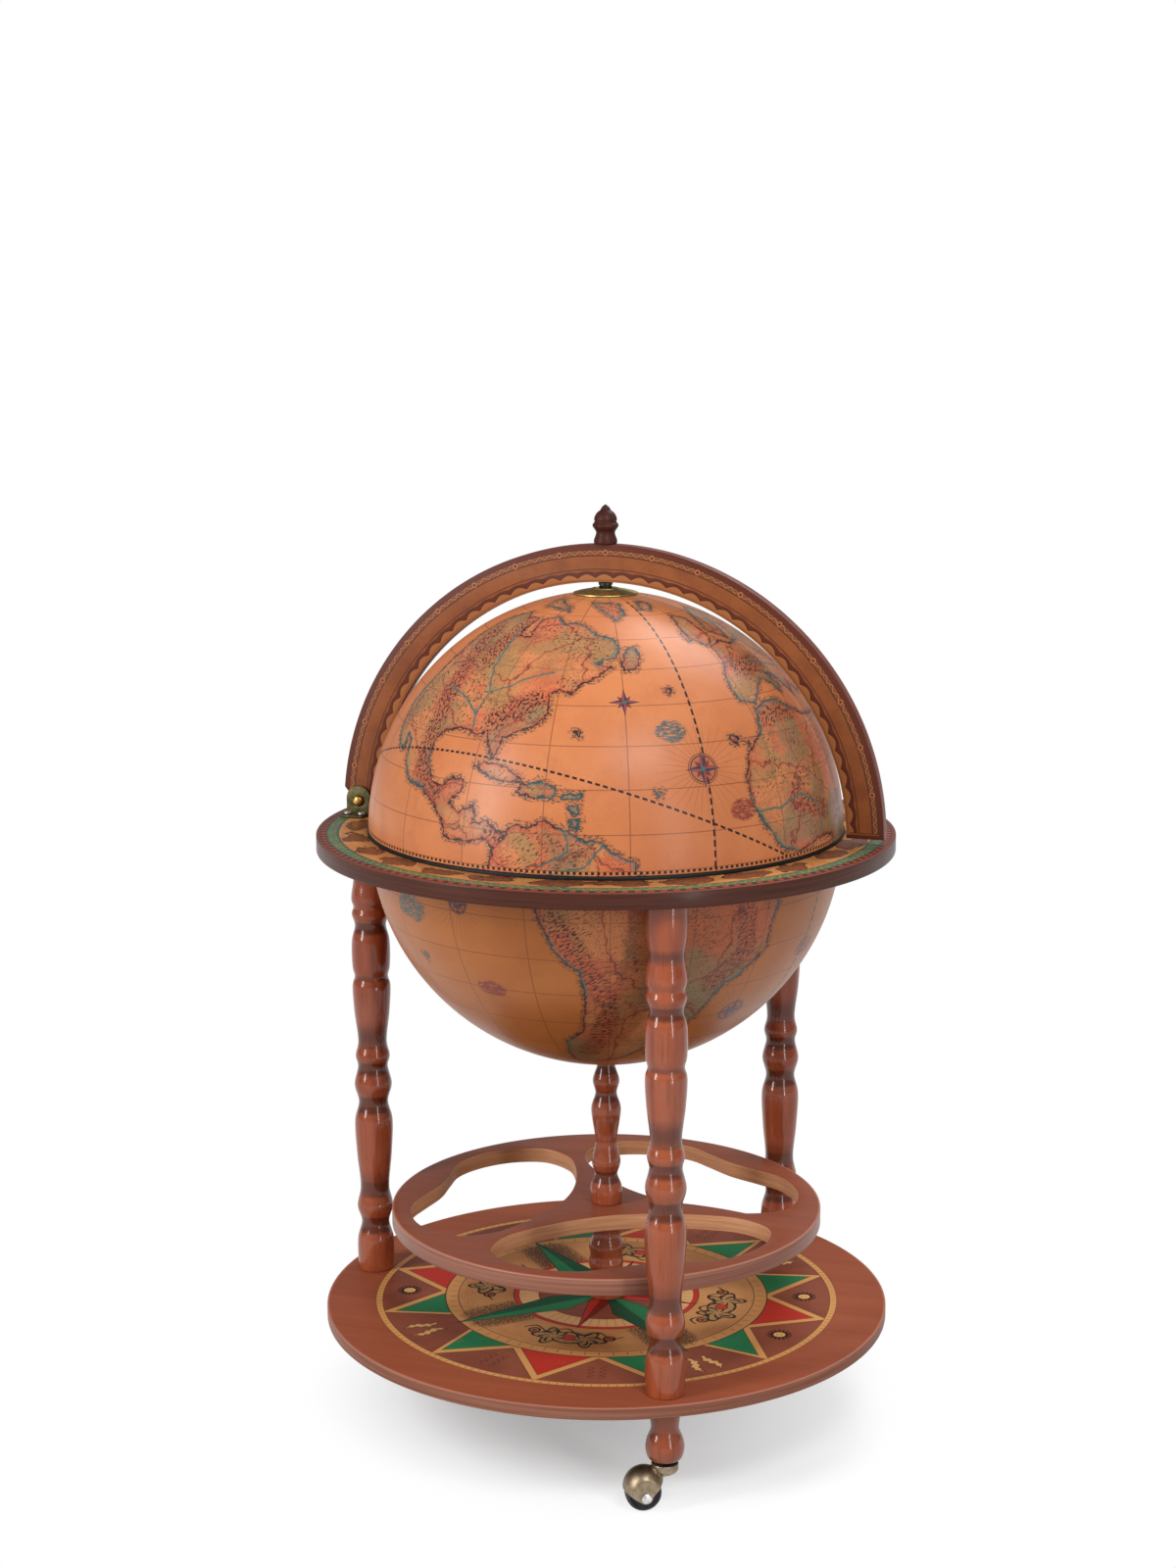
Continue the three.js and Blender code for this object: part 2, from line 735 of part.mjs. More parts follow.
function poleSpacer() {
  return collar(poleRodRadius + fitGap, poleSpacerRadius, capTop + fitGap, arcSoffit - fitGap, turnedFacets);
}
const domeSoffit = domeCentre + seatHeight(domeRadius - globeWall);
function poleNut() {
  const high = domeSoffit - runGap;
  return hexagonNut(poleRodRadius + fitGap, poleNutRadius, high - poleNutHeight, high);
}
function poleRod() {
  return rod(poleRodRadius, domeSoffit - runGap - poleNutHeight - poleRodEnd, arcCrown + fitGap + poleRodInFinial);
}

// Hinge bracket for the -Y side: an upright plate with a round top, bent into a flange
function hingeBracket() {
  const half = bracketWidth / 2;
  const low = ringTop + fitGap;
  const plate = new THREE.Shape();
  plate.moveTo(-hingeReach - half, low);
  plate.lineTo(-hingeReach + half, low);
  plate.absarc(-hingeReach, hingeLevel + bracketArchRise, half, 0, Math.PI, false);
  plate.closePath();
  const pinHole = new THREE.Path().absarc(-hingeReach, hingeLevel, pinRadius + fitGap, 0, 2 * Math.PI, true);
  plate.holes.push(pinHole);
  const wall = solid(upright(plate, bracketThickness, nutSides).translate(0, -flangeInner - bracketThickness / 2, 0));
  const flangeLength = bracketThickness + flangeDepth;
  let flange = solid(new THREE.BoxGeometry(bracketWidth, flangeLength, bracketThickness)
    .translate(-hingeReach, -flangeInner - flangeLength / 2, low + bracketThickness / 2));
  for (const { x, y } of screwPlaces.filter((place) => place.y < 0)) {
    const hole = rod(screwRadius + fitGap, low - overrun, low + bracketThickness + overrun);
    flange = flange.subtract(solid(hole.translate(x, y, 0)));
  }
  return shaped(wall.add(flange));
}

// Bracket screw with a domed head
function bracketScrew() {
  const seat = ringTop + fitGap + bracketThickness + fitGap;
  return turned([
    [0, ringTop - screwLength],
    [screwRadius, ringTop - screwLength],
    [screwRadius, seat],
    [screwHeadRadius, seat],
    [screwHeadRadius, seat + screwHeadHeight / 2],
    [screwHeadRadius / 2, seat + screwHeadHeight],
    [0, seat + screwHeadHeight],
  ], smallFacets);
}

// Pieces on the hinge pin are revolved about Z, and then laid along Y
function onPin(geometry) {
  return geometry.rotateX(Math.PI / 2).translate(-hingeReach, 0, hingeLevel);
}
const bracketFace = flangeInner + bracketThickness + fitGap;
function hingePin() {
  return onPin(turned([
    [0, -bracketFace - hingeNutHeight - pinEnd],
    [pinRadius, -bracketFace - hingeNutHeight - pinEnd],
    [pinRadius, bracketFace],
    [pinHeadRadius, bracketFace],
    [pinHeadRadius * Math.cos(Math.PI / 6), bracketFace + pinHeadHeight / 2],
    [pinHeadRadius / 2, bracketFace + pinHeadHeight],
    [0, bracketFace + pinHeadHeight],
  ], pinFacets));
}
function hingeNut() {
  return onPin(hexagonNut(pinRadius + fitGap, hingeNutRadius, -bracketFace - hingeNutHeight, -bracketFace));
}
function hingeWasher(side) {
  const inner = arcThickness / 2 + fitGap;
  const outer = inner + washerThickness;
  const [low, high] = side > 0 ? [inner, outer] : [-outer, -inner];
  return onPin(collar(pinRadius + fitGap, washerRadius, low, high, turnedFacets));
}

// Stand
add('base_disc', baseDisc(), glossyWood);
for (const [place, angle] of Object.entries(legAngles)) {
  const post = legGroup(angle);
  add(`leg_${place}`, leg(), glossyWood, post);
  add(`bun_foot_${place}`, bunFoot(), glossyWood, post);
  add(`leg_stud_${place}`, legStud(), steel, post);
  add(`ring_dowel_${place}`, ringDowel(), plyWood, post);
  add(`caster_stem_${place}`, casterStem(), steel, post);
  const caster = legGroup(angle, casterAngles[place]);
  add(`caster_hood_${place}`, casterHood(), antiqueBrass, caster);
  add(`caster_wheel_${place}`, casterWheel(), greyRubber, caster);
  add(`caster_axle_${place}`, casterAxle(), steel, caster);
}
add('column_spool', columnSpool(), glossyWood);
add('bottle_shelf', bottleShelf(), glossyWood);
add('column_spindle', columnSpindle(), glossyWood);
add('column_tie_rod', tieRod(), steel);
add('base_nut', flangedNut(baseUnderside, -1), steel);
add('bowl_nut', flangedNut(bowlFloor, 1), steel);

// Ring, bowl and what lies in it
add('horizon_ring', horizonRing(), printedWood);
add('rim_gasket', rimGasket(), blackRubber);
add('lower_bowl', lowerBowl(), globePaper);
add('glass_tray', glassTray(), plyWood);
add('tray_floor', trayFloor(), plyWood);

// Hinge
const rearBracket = hingeBracket().rotateZ(Math.PI).translate(-2 * hingeReach, 0, 0);
add('hinge_bracket_front', hingeBracket(), antiqueBrass);
add('hinge_bracket_rear', rearBracket, antiqueBrass);
screwPlaces.forEach(({ x, y }, i) => add(`bracket_screw_${i + 1}`, bracketScrew().translate(x, y, 0), brightBrass));
add('hinge_pin', hingePin(), brightBrass);
add('hinge_nut', hingeNut(), brightBrass);
add('hinge_washer_front', hingeWasher(1), blackRubber);
add('hinge_washer_rear', hingeWasher(-1), blackRubber);

// Lid
add('meridian_arc', meridianArc(), printedWood);
add('finial', finial(), glossyWood);
add('pole_rod', poleRod(), steel);
add('pole_spacer', poleSpacer(), antiqueBrass);
add('pole_nut', poleNut(), steel);
add('pole_cap', poleCap(), antiqueBrass);
add('dome', domeShell(), globePaper);

export default globeBar;
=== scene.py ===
# Floor globe bar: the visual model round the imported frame.
# Sizes are in millimetres here and become metres as each mesh is made.
# A colour is three numbers from 0 to 255, as it looks on a screen.

import math

import bpy
import bmesh
import numpy as np
from mathutils import Matrix, Vector


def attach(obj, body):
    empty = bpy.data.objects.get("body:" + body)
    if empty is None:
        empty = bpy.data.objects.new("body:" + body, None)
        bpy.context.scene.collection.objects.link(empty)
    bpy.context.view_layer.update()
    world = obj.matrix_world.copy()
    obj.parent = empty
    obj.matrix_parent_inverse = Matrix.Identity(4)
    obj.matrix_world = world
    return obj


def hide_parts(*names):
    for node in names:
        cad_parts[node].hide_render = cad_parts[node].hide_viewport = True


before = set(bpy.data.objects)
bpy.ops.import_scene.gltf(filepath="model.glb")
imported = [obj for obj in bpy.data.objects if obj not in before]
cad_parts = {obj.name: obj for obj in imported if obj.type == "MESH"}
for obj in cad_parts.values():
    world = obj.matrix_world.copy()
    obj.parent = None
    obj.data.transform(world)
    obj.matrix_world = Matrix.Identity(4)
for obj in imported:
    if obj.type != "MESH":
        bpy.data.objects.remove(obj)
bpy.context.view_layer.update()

MM = 0.001
TURN = 2 * math.pi

# Levels above the floor
BASE_LOW, BASE_TOP = 89.7, 99.9
RING_LOW, RING_TOP = 512.9, 526.7
SHELF_LOW, SHELF_TOP = 172.5, 186.8
CASTER_TOP = 41.4
DOME_CENTRE, DOME_RADIUS, DOME_RIM = 527.0, 205.5, 530.2
BOWL_CENTRE, BOWL_RADIUS = 526.7, 204.8
SHELL_WALL = 4.0
ARC_CENTRE, ARC_INNER, ARC_OUTER, ARC_HALF = 529.0, 212.3, 244.5, 6.0
ARC_SHIFT = 1.6
HINGE_X, HINGE_Z = -227.5, 539.2
HEEL_RADIUS, BRACKET_HALF, BRACKET_ARCH = 11.2, 11.4, 1.85
TRAY_TOP, TRAY_THICK = 496.7, 8.0
CLEAR = 0.3
AXLE_X, AXLE_Z = 18.4, 15.0

# Radii in plan
RING_IN, RING_OUT = 205.1, 250.25
BASE_RADIUS, SHELF_RADIUS = 249.2, 190.3
LEG_CIRCLE = 222.1
TRAY_RADIUS, TRAY_WELL, TRAY_HOLE, TRAY_CIRCLE = 195.6, 52, 36, 132
POLE_HOLE, ROD_HOLE, PIN_HOLE = 4.2, 3.3, 3.3
SCREW_ALONG, SCREW_ASIDE = (-6.5, 6.5), 18.6
LEG_ANGLES = {"hinge": math.pi, "front": -math.pi / 3, "rear": math.pi / 3}
CASTER_TURNS = {"hinge": math.pi / 3, "front": math.radians(209.5), "rear": math.radians(209.5)}

# Turned outlines as shares of height and of the largest radius
LEG = [
    (0, .96), (.07, .96), (.109, .738), (.144, .957), (.186, .774), (.268, .939), (.345, 1), (.385, .78),
    (.425, .994), (.467, .793), (.49, .909), (.52, .762), (.594, .945), (.652, 1), (.67, .884), (.691, .988),
    (.753, .994), (.785, .823), (.811, .982), (.826, .89), (.843, .994), (.894, .854), (.937, .994),
    (1, .994),
]
SPINDLE = [(0, 1), (.11, 1), (.191, .732), (.272, .928), (.419, .698), (.647, .951), (.749, .687),
           (.834, .853), (.933, .581), (1, .528)]
SPOOL = [(0, 1), (.069, 1), (.248, .743), (.406, .886), (.523, .811), (.634, .874), (.785, .697), (1, .697)]
FOOT = [(0, .679), (.06, .883), (.242, 1), (.403, .914), (.575, .722), (.766, .765), (1, .827)]
FINIAL = [(0, .893), (.089, .884), (.282, .72), (.46, 1), (.558, .839), (.623, .875), (.772, .679),
          (.849, .411), (.92, .286), (1, 0)]
SHELF_OPENING = [(.194, 0), (.215, .189), (.284, .41), (.368, .557), (.515, .641), (.641, .61), (.741, .531),
                 (.815, .42), (.851, .3), (.841, .163), (.825, 0)]

# Simplified coasts as longitude and latitude in degrees
COASTS = {
    "north_america": [
        (-122, 65), (-124, 58), (-122, 50), (-123, 42), (-125, 36), (-123, 29), (-119, 25), (-115, 24),
        (-116, 28), (-113, 27), (-112, 22), (-108, 18), (-101, 17), (-96, 14), (-93, 11), (-91, 7),
        (-84, 7), (-80, 8), (-78, 6), (-75, 9), (-77, 10), (-80, 12), (-84, 11), (-83, 13), (-84, 15),
        (-88, 13), (-91, 15), (-88, 18), (-88, 20), (-92, 21), (-94, 18), (-98, 19), (-102, 24),
        (-102, 28), (-100, 31), (-95, 32), (-90, 32), (-88, 31), (-85, 32), (-83, 28), (-81, 26),
        (-80, 29), (-80, 31), (-77, 32), (-72, 34), (-69, 36), (-68, 38), (-69, 43), (-65, 44), (-62, 43),
        (-59, 46), (-54, 48), (-49, 51), (-55, 52), (-47, 54), (-46, 57), (-48, 60), (-56, 62), (-66, 67),
        (-75, 66), (-83, 69), (-92, 67), (-89, 60), (-95, 60), (-97, 63), (-96, 68), (-104, 67), (-112, 70),
    ],
    "south_america": [
        (-75, 9), (-74, 11), (-72, 12), (-70, 11), (-66, 13), (-61, 11), (-57, 9), (-53, 9), (-50, 6),
        (-45, 4), (-45, 2), (-42, -1), (-36, -3), (-30, -6), (-28, -9), (-30, -15), (-29, -20), (-33, -24),
        (-36, -27), (-40, -29), (-42, -32), (-47, -42), (-50, -44), (-52, -49), (-58, -52), (-64, -58),
        (-72, -61), (-80, -65), (-86, -64), (-88, -57), (-86, -48), (-80, -44), (-78, -33), (-78, -29),
        (-79, -23), (-82, -21), (-85, -17), (-86, -14), (-88, -10), (-89, -7), (-86, -3), (-80, 1),
        (-78, 4), (-78, 6),
    ],
    "greenland": [(-67, 78), (-54, 78), (-38, 77), (-38, 71), (-45, 68), (-52, 72)],
    "arctic": [(-120, 79), (-100, 77), (-84, 75), (-80, 72), (-90, 73), (-110, 74)],
    "europe_asia": [
        (-8, 39), (-2, 38), (3, 41), (8, 44), (13, 42), (15, 39), (17, 41), (14, 45), (20, 42), (23, 37),
        (26, 41), (30, 37), (36, 37), (35, 31), (34, 28), (39, 21), (43, 13), (52, 16), (59, 22), (56, 25),
        (50, 29), (57, 27), (66, 25), (72, 20), (77, 8), (80, 14), (87, 21), (94, 17), (98, 9), (103, 2),
        (101, 12), (108, 11), (107, 20), (117, 24), (122, 31), (119, 38), (126, 37), (129, 36), (130, 42),
        (141, 48), (140, 54), (155, 59), (156, 51), (164, 60), (178, 64), (190, 66), (180, 70), (150, 72),
        (110, 76), (75, 72), (68, 68), (45, 67), (40, 65), (33, 67), (28, 71), (14, 67), (6, 61), (10, 59),
        (14, 57), (18, 60), (22, 65), (24, 60), (20, 56), (10, 55), (5, 57), (-3, 55), (-4, 50), (-7, 47),
        (-9, 43),
    ],
    "africa": [
        (1, 38), (9, 38), (13, 35), (20, 32), (32, 31), (36, 23), (43, 12), (51, 12), (46, 2), (40, -4),
        (40, -15), (35, -22), (32, -29), (27, -34), (19, -35), (15, -27), (12, -17), (13, -8), (14, -1),
        (16, 3), (10, 4), (5, 3), (-1, 2), (-7, 4), (-12, 10), (-15, 15), (-15, 21), (-13, 26), (-6, 31),
        (-4, 36),
    ],
    "australia": [(114, -22), (122, -18), (130, -12), (136, -12), (141, -17), (143, -11), (146, -19),
                  (153, -26), (150, -37), (140, -38), (131, -32), (123, -34), (115, -34)],
    "southern_land": [(-180, -74), (-150, -77), (-110, -75), (-75, -74), (-58, -71), (-40, -76), (0, -70),
                      (50, -66), (100, -65), (150, -68), (180, -74), (180, -90), (-180, -90)],
    "britain": [(-10, 64), (-10, 59), (-5, 56), (2, 58), (2, 63), (3, 67), (-5, 69)],
    "ireland": [(-13, 61), (-13, 58), (-11, 58), (-11, 62)],
    "iceland": [(-22, 73), (-14, 72), (-7, 75), (-4, 77), (-15, 78)],
    "newfoundland": [(-43, 57), (-39, 57), (-38, 54), (-41, 50), (-45, 50), (-45, 53)],
    "cuba": [(-86, 24), (-83, 25), (-76, 24), (-71, 21), (-76, 21), (-81, 22)],
    "hispaniola": [(-73, 19), (-71, 21), (-67, 22), (-63, 20), (-64, 18), (-69, 18)],
    "puerto": [(-62, 18), (-61, 19), (-57, 19), (-58, 18)],
    "isle_one": [(-60, 16.5), (-58, 16.5), (-58, 14.8), (-60, 15)],
    "isle_two": [(-59.5, 13.5), (-57.5, 13), (-58, 11), (-59.5, 12)],
    "isle_three": [(-60, 33.5), (-58.6, 33.3), (-59, 32.3)],
    "isle_four": [(-40, 19.6), (-38, 19.4), (-38.6, 18.4)],
    "isle_five": [(-17, 31), (-14, 30.4), (-14.6, 29), (-17, 29.6)],
    "isle_six": [(-12.6, 29.4), (-11, 28.6), (-12, 27.6)],
    "isle_seven": [(-33, 44), (-31, 44), (-31.5, 42.6)],
    "isle_eight": [(172, -35), (178, -38), (170, -46), (167, -45)],
    "isle_nine": [(-128, -24), (-125, -24), (-126, -26)],
    "madagascar": [(44, -16), (50, -15), (48, -25), (44, -25)],
    "japan": [(130, 32), (136, 34), (141, 38), (141, 42), (138, 37), (132, 35)],
    "borneo": [(109, 1), (117, 7), (118, 0), (112, -3)],
    "new_guinea": [(131, -1), (141, -3), (150, -10), (140, -8)],
    "sumatra": [(96, 5), (105, -5), (103, -1)],
}
RANGES = [
    [(-116, 60), (-108, 45), (-105, 35), (-104, 22), (-97, 17)],
    [(-99, 64), (-101, 52)],
    [(-83, 35), (-78, 38), (-73, 41)],
    [(-78, 9), (-84, 0), (-86, -8), (-82, -13), (-78, -21), (-73, -29), (-72, -40), (-79, -54)],
    [(-38, -10), (-36, -20), (-44, -28)],
    [(-5, 34), (12, 35)],
    [(0, 14), (12, 10)],
    [(0, 47), (15, 49)],
    [(66, 36), (85, 30), (98, 27)],
    [(60, 50), (62, 66)],
    [(36, 15), (38, 2), (30, -20)],
    [(118, -24), (146, -30)],
]
RIVERS = [
    [(-90, 31), (-91, 36), (-90, 42), (-94, 49), (-96, 56), (-100, 62)],
    [(-90, 42), (-84, 44), (-78, 47), (-70, 49)],
    [(-91, 36), (-98, 40), (-107, 42)],
    [(-52, 8), (-56, 3), (-64, 1), (-72, -3), (-80, -6)],
    [(-61, 12), (-60, 6), (-66, 3)],
    [(-46, -40), (-55, -32), (-58, -22), (-62, -12)],
    [(-13, 13), (-6, 13), (2, 15), (9, 12), (10, 3)],
    [(32, 31), (33, 20), (30, 8), (32, -3)],
    [(13, -8), (24, -2), (26, 4)],
    [(30, 45), (20, 47), (10, 49)],
    [(48, 46), (45, 55), (38, 57)],
    [(88, 22), (80, 27), (74, 32)],
    [(121, 31), (108, 32), (98, 34)],
]
DOME_MAP_TURN = 21.0
BOWL_MAP_TURN = 0.0
DASHED_TILT, DASHED_PEAK = 26.5, -92.0


def srgb(red, green, blue):
    """A colour given as it looks on a screen, from 0 to 255, as the linear colour that Blender takes."""
    parts = []
    for part in (red, green, blue):
        part /= 255
        parts.append(part / 12.92 if part <= 0.04045 else ((part + 0.055) / 1.055) ** 2.4)
    return (*parts, 1.0)


# Node trees and shader maths

class Shade:
    """A node's socket that takes Python's operators."""

    def __init__(self, nodes, socket):
        self.nodes, self.socket = nodes, socket

    def math(self, operation, *others):
        return self.nodes.node("Math", {"operation": operation}, self, *others)

    def __add__(self, other):
        return self.math("ADD", other)

    __radd__ = __add__

    def __sub__(self, other):
        return self.math("SUBTRACT", other)

    def __rsub__(self, other):
        return self.nodes.node("Math", {"operation": "SUBTRACT"}, other, self)

    def __mul__(self, other):
        return self.math("MULTIPLY", other)

    __rmul__ = __mul__

    def __truediv__(self, other):
        return self.math("DIVIDE", other)

    def __mod__(self, other):
        return self.math("FLOORED_MODULO", other)

    def __pow__(self, other):
        return self.math("POWER", other)

    def __abs__(self):
        return self.math("ABSOLUTE")

    def __gt__(self, other):
        return self.math("GREATER_THAN", other)

    def __lt__(self, other):
        return self.math("LESS_THAN", other)

    def either(self, other):
        return self.math("MAXIMUM", other)

    def sine(self):
        return self.math("SINE")

    def rise(self, low, high):
        """0 below low, 1 above high, and smooth between them."""
        return self.nodes.node("MapRange", {"interpolation_type": "SMOOTHSTEP"}, self, low, high, 0.0, 1.0)

    def fall(self, low, high):
        """1 below low, 0 above high, and smooth between them."""
        return 1 - self.rise(low, high)

    def past(self, edge, soft=0.2):
        """0 before the edge, 1 past it."""
        return self.rise(edge - soft, edge + soft)

    def before(self, edge, soft=0.2):
        """1 before the edge, 0 past it."""
        return 1 - self.past(edge, soft)

    def line(self, half, soft=0.3):
        """1 within half of zero, 0 past it."""
        return abs(self).before(half, soft)

    def near(self, centre, half, soft=0.3):
        """1 within half of centre, 0 past it."""
        return (self - centre).line(half, soft)

    def within(self, low, high, soft=0.15):
        return self.past(low, soft) * self.before(high, soft)

    def mix(self, under, over):
        """The colour under, with the colour over laid on it where this mask is 1."""
        made = self.nodes.node("Mix", {"data_type": "RGBA"}, self)
        fill(made.node.inputs[6], under)
        fill(made.node.inputs[7], over)
        return Shade(self.nodes, made.node.outputs[2])

    def tint(self, first, second, low=0.3, high=0.7):
        """The first colour where the value is low, the second where it is high."""
        return self.rise(low, high).mix(first, second)


class Made(Shade):
    """A node just made, which stands for its first output."""

    def __init__(self, nodes, node):
        super().__init__(nodes, node.outputs[0] if node.outputs else None)
        self.node = node

    def out(self, name):
        return Shade(self.nodes, self.node.outputs[name])


def fill(socket, value):
    """Links a value from a node, or sets the socket's own, where a colour is three screen values."""
    if isinstance(value, Shade):
        socket.id_data.links.new(value.socket, socket)
    elif socket.type == "RGBA":
        socket.default_value = srgb(*value)
    else:
        socket.default_value = value


class Nodes:
    """A node tree that is built node by node."""

    def __init__(self, tree):
        self.tree = tree
        tree.nodes.clear()

    def node(self, kind, settings=None, *values, **named):
        """A node with its settings, then its inputs by place and name; a shader node's kind has no prefix."""
        made = self.tree.nodes.new(kind if "Node" in kind else "ShaderNode" + kind)
        for key, value in (settings or {}).items():
            setattr(made, key, value)
        for place, value in enumerate(values):
            fill(made.inputs[place], value)
        for name, value in named.items():
            fill(made.inputs[name.replace("_", " ")], value)
        return Made(self, made)


class Finish(Nodes):
    """A material with one main shader."""

    def __init__(self, name, **constants):
        self.material = bpy.data.materials.new(name)
        self.material.use_nodes = True
        super().__init__(self.material.node_tree)
        self.shader = self.node("BsdfPrincipled", {}, **constants)
        self.surface = self.node("OutputMaterial", {}, Surface=self.shader).node.inputs["Surface"]
        self.place = self.node("TexCoord").out("Object")

    def done(self, colour, roughness, height, strength, distance):
        """Feeds the shader its colour, roughness and bump, and gives the material."""
        bump = self.node("Bump", {}, Strength=strength, Distance=distance, Height=height)
        for name, value in (("Base Color", colour), ("Roughness", roughness), ("Normal", bump)):
            fill(self.shader.node.inputs[name], value)
        return self.material

    def layers(self, ground, *layers):
        """A ground colour with (mask, colour) layers laid on it in turn."""
        for mask, over in layers:
            ground = mask.mix(ground, over)
        return ground

    def vector(self, operation, *values, out="Vector", **named):
        return self.node("VectorMath", {"operation": operation}, *values, **named).out(out)

    def noise(self, scale, detail=2.0, rough=0.5, place=None, kind="Fac"):
        place = place or self.place
        return self.node("TexNoise", {}, Vector=place, Scale=scale, Detail=detail, Roughness=rough).out(kind)

    def streaks(self, x, y, z, detail=4.0, rough=0.6, scale=1.0):
        """Noise with a scale of its own along each axis."""
        return self.noise(scale, detail, rough, self.vector("MULTIPLY", self.place, (x, y, z)))

    def wood_grain(self, along="Z", scale=1.0):
        """Broad streaks and fine pores from 0 to 1 that run along an axis."""
        stretch = [2.5 * scale if axis == along else 60 * scale for axis in "XYZ"]
        return self.streaks(*stretch), self.streaks(*stretch, 3.0, 0.7, 3.5)

    def attribute(self, name):
        return self.node("Attribute", {"attribute_name": name}).out("Fac")

    def axes(self, place=None, size=MM):
        """The three coordinates of a place, in millimetres or in another size."""
        split = self.node("SeparateXYZ", {}, place or self.place)
        return [split.out(axis) / size for axis in "XYZ"]

    def facing(self, axis="Z"):
        """How far the surface faces along an axis, either way, from 0 to 1."""
        return abs(self.node("SeparateXYZ", {}, self.node("NewGeometry").out("Normal")).out(axis))


def reach(u, v):
    """Distance of (u, v) from the middle."""
    return (u * u + v * v) ** 0.5


def polar(u, v):
    """Distance and angle of (u, v) about the middle."""
    return reach(u, v), v.math("ARCTAN2", u)


def plane(radius, angle):
    """How far a point lies along and across the line of angle 0."""
    return radius * angle.math("COSINE"), radius * angle.sine()


def wedge(angle, count, offset=0.0):
    """The angle folded into one of count wedges, from minus to plus half a wedge, and the wedge's number."""
    size = TURN / count
    turns = (angle - offset) / size + 0.5 + 2 * count
    number = turns.math("FLOOR")
    return (turns - number - 0.5) * size, number


def spokes(angle, radius, count, half, soft):
    """Thin radial lines, count to the circle."""
    return (wedge(angle, count)[0] * radius).line(half, soft)


def side_of(x, y, a, b):
    """Distance of (x, y) from the line through a and b, positive on its left."""
    dx, dy = b[0] - a[0], b[1] - a[1]
    length = math.hypot(dx, dy)
    return (y - a[1]) * (dx / length) - (x - a[0]) * (dy / length)


def star_point(u, v, shoulder, half_width, tip):
    """Distance inside a kite along u, from 0 out to its tip, with its widest place at the shoulder."""
    corner = (shoulder, half_width)
    return side_of(u, abs(v), (tip, 0), corner).math("MINIMUM", side_of(u, abs(v), corner, (0, 0)))


# Finishes

def turned_wood():
    """Red-brown varnish over turned beech, darker deep in the coves: stain that gathers there, with painted
    shade.
    """
    finish = Finish("turned_wood", Roughness=0.45, Specular_IOR_Level=0.1,
                    Coat_Weight=0.8, Coat_Roughness=0.13)
    broad, fine = finish.wood_grain()
    mottle = finish.noise(22, 3)
    colour = finish.layers(
        broad.tint((142, 62, 33), (168, 84, 50)),
        (fine.rise(0.5, 0.7) * 0.45, (88, 36, 20)),
        (mottle.rise(0.45, 0.7) * 0.3, (170, 106, 82)),
        # painted shade deep in the coves, with the stain that gathers there
        (finish.attribute("cove").rise(0.6, 1.0) * 0.72, (58, 22, 14)),
    )
    return finish.done(colour, 0.4 + mottle * 0.14, fine, 0.1, 0.0005)


def dark_turned_wood():
    """The finial's darker stain."""
    finish = Finish("finial_wood", Roughness=0.6, Coat_Weight=0.1, Coat_Roughness=0.3, Specular_IOR_Level=0.1)
    broad, fine = finish.wood_grain(scale=1.6)
    # painted shade deep in the coves, with the stain that gathers there
    cove = finish.attribute("cove").rise(0.3, 0.95) * 0.5
    return finish.done(cove.mix(broad.tint((56, 26, 20), (80, 40, 31)), (40, 16, 14)), 0.5 + fine * 0.15,
                       fine, 0.05, 0.0003)


def stain(finish, light, dark):
    """Stained board with faint grain along X and small pores, and the pores' own mask."""
    broad, fine = finish.wood_grain("X", 0.8)
    colour = finish.layers(
        light,
        (broad.rise(0.3, 0.7) * 0.6, dark),
        (fine.rise(0.55, 0.8) * 0.28, (96, 48, 34)),
        (finish.noise(6, 3).rise(0.35, 0.7) * 0.35, dark),
    )
    return colour, fine


def edge_stain(finish):
    """The board's sanded edge, paler and pinker than its face, in thin layers."""
    return finish.streaks(6, 6, 700, 3.0).tint((136, 84, 66), (164, 112, 92))


def arris_highlight(z, radius, level, rim):
    """A painted highlight, the pale line along a board's rounded upper edge."""
    return z.past(level) * radius.rise(rim - 2.2, rim - 1.2)


def shelf_board():
    """Stained shelf with raw wood inside its openings."""
    finish = Finish("shelf_board", Roughness=0.45, Specular_IOR_Level=0.25,
                    Coat_Weight=0.06, Coat_Roughness=0.22)
    x, y, z = finish.axes()
    radius = reach(x, y)
    face, fine = stain(finish, (150, 80, 54), (132, 68, 46))
    side = finish.facing().fall(0.35, 0.8)
    inside = radius.fall(SHELF_RADIUS - 4, SHELF_RADIUS - 3)
    raw = finish.streaks(20, 20, 500).tint((206, 152, 112), (186, 128, 90))
    colour = finish.layers(
        face,
        (side * (1 - inside), edge_stain(finish)),
        # painted highlight along the shelf's rounded upper edge
        (arris_highlight(z, radius, SHELF_TOP - 0.9, SHELF_RADIUS) * 0.75, (184, 128, 108)),
        (side * inside, raw),
    )
    return finish.done(colour, 0.34 + fine * 0.1 + side * inside * 0.25, fine, 0.06, 0.0004)


